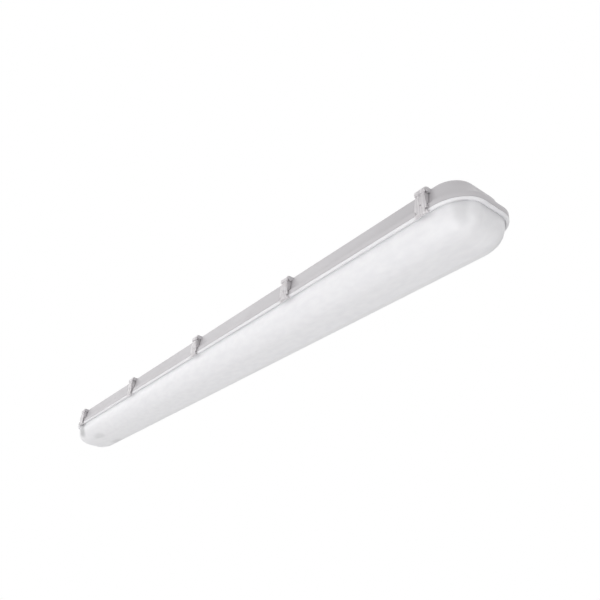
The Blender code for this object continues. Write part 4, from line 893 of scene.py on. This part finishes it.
# Ballast: a zinc plated base and a white painted cover round a circuit board, with a connector
# at each end. Two screws hold it to the tray.
zinc_plate = moulding(
    "zinc_plate", light=(0.68, 0.68, 0.70), dark=(0.54, 0.54, 0.56), roughness=0.38,
    cloud_scale=160, grain=0.1, metallic=1, rough_spread=0.1)
circuit_board = moulding(
    "circuit_board", light=(0.12, 0.34, 0.18), dark=(0.07, 0.24, 0.12), roughness=0.45,
    cloud_scale=200, grain=0.2)
finer("ballast_base", "gear_base", "root", "zinc_steel", zinc_plate, edge=0)
finer("ballast_cover", "gear_cover", "root", "white_steel", white_paint)
finer("ballast_board", "gear_board", "root", "circuit_board", circuit_board)
for side in ("left", "right"):
    finer(f"ballast_connector_{side}", f"gear_connector_{side}", "root", "white_plastic",
          white_plastic)
    finer(f"ballast_{side}_screw", f"gear_screw_{side}", "root", "zinc_steel", zinc_plate)

# Ceiling brackets: two brackets of bare spring steel that grip the pads on the housing's back
# and are screwed to the ceiling.
spring_steel = moulding(
    "spring_steel", light=(0.59, 0.585, 0.57), dark=(0.53, 0.525, 0.51), roughness=0.36,
    cloud_scale=500, grain=0.04, metallic=1, stretch=(1, 0.08, 1))
for side in ("left", "right"):
    finer(f"bracket_{side}", f"ceiling_bracket_{side}", "root", "spring_steel", spring_steel)

# Terminals: a white plastic block with a zinc plated screw for the mains wires, and a zinc
# plated screw that earths the tray, both fixed to the tray.
finer("terminal_block", "mains_block", "root", "white_plastic", white_plastic)
finer("terminal_screw", "mains_block_screw", "root", "zinc_steel", zinc_plate)
finer("earth_screw", "earth_stud", "root", "zinc_steel", zinc_plate)

# Wires: seven leads in coloured insulation. Live and neutral go from the terminal block to the
# ballast, earth goes to its screw, and one goes from the ballast to each lampholder.
LEADS = (
    # finish, its lighter colour, leads
    ("brown_wire", (0.24, 0.11, 0.055), ("live",)),
    ("blue_wire", (0.07, 0.18, 0.48), ("neutral",)),
    ("earth_wire", (0.22, 0.48, 0.11), ("earth",)),
    ("white_wire", (0.8, 0.8, 0.78), HOLDER_PLACES),
)
SLEEVE_DARK_SHARE = 0.88

for slot, light, wires in LEADS:
    sleeve = moulding(
        slot, light=light, dark=[shade * SLEEVE_DARK_SHARE for shade in light], roughness=0.42,
        cloud_scale=150, grain=0.1)
    for wire in wires:
        finer(f"wire_{wire}", f"lead_{wire}", "root", slot, sleeve, edge=0)

# Cable gland: a grey nylon body on a rubber washer, held in the housing's end wall by a locknut
# inside. Its dome nut, on the outer thread, holds a rubber seal.
grey_nylon = moulding(
    "grey_nylon", light=(0.47, 0.48, 0.50), dark=(0.42, 0.43, 0.45), roughness=0.46,
    cloud_scale=90, grain=0.1)
black_rubber = moulding(
    "black_rubber", light=(0.055, 0.055, 0.055), dark=(0.04, 0.04, 0.04), roughness=0.75,
    cloud_scale=120, grain=0.2)
finer("gland_body", "gland_barrel", "root", "grey_nylon", grey_nylon)
finer("gland_washer", "gland_ring", "root", "black_rubber", black_rubber)
finer("gland_locknut", "gland_nut", "root", "grey_nylon", grey_nylon)
finer("gland_seal", "gland_bung", "root", "black_rubber", black_rubber)
finer("gland_dome_nut", "gland_cap_nut", "dome_nut", "grey_nylon", grey_nylon)
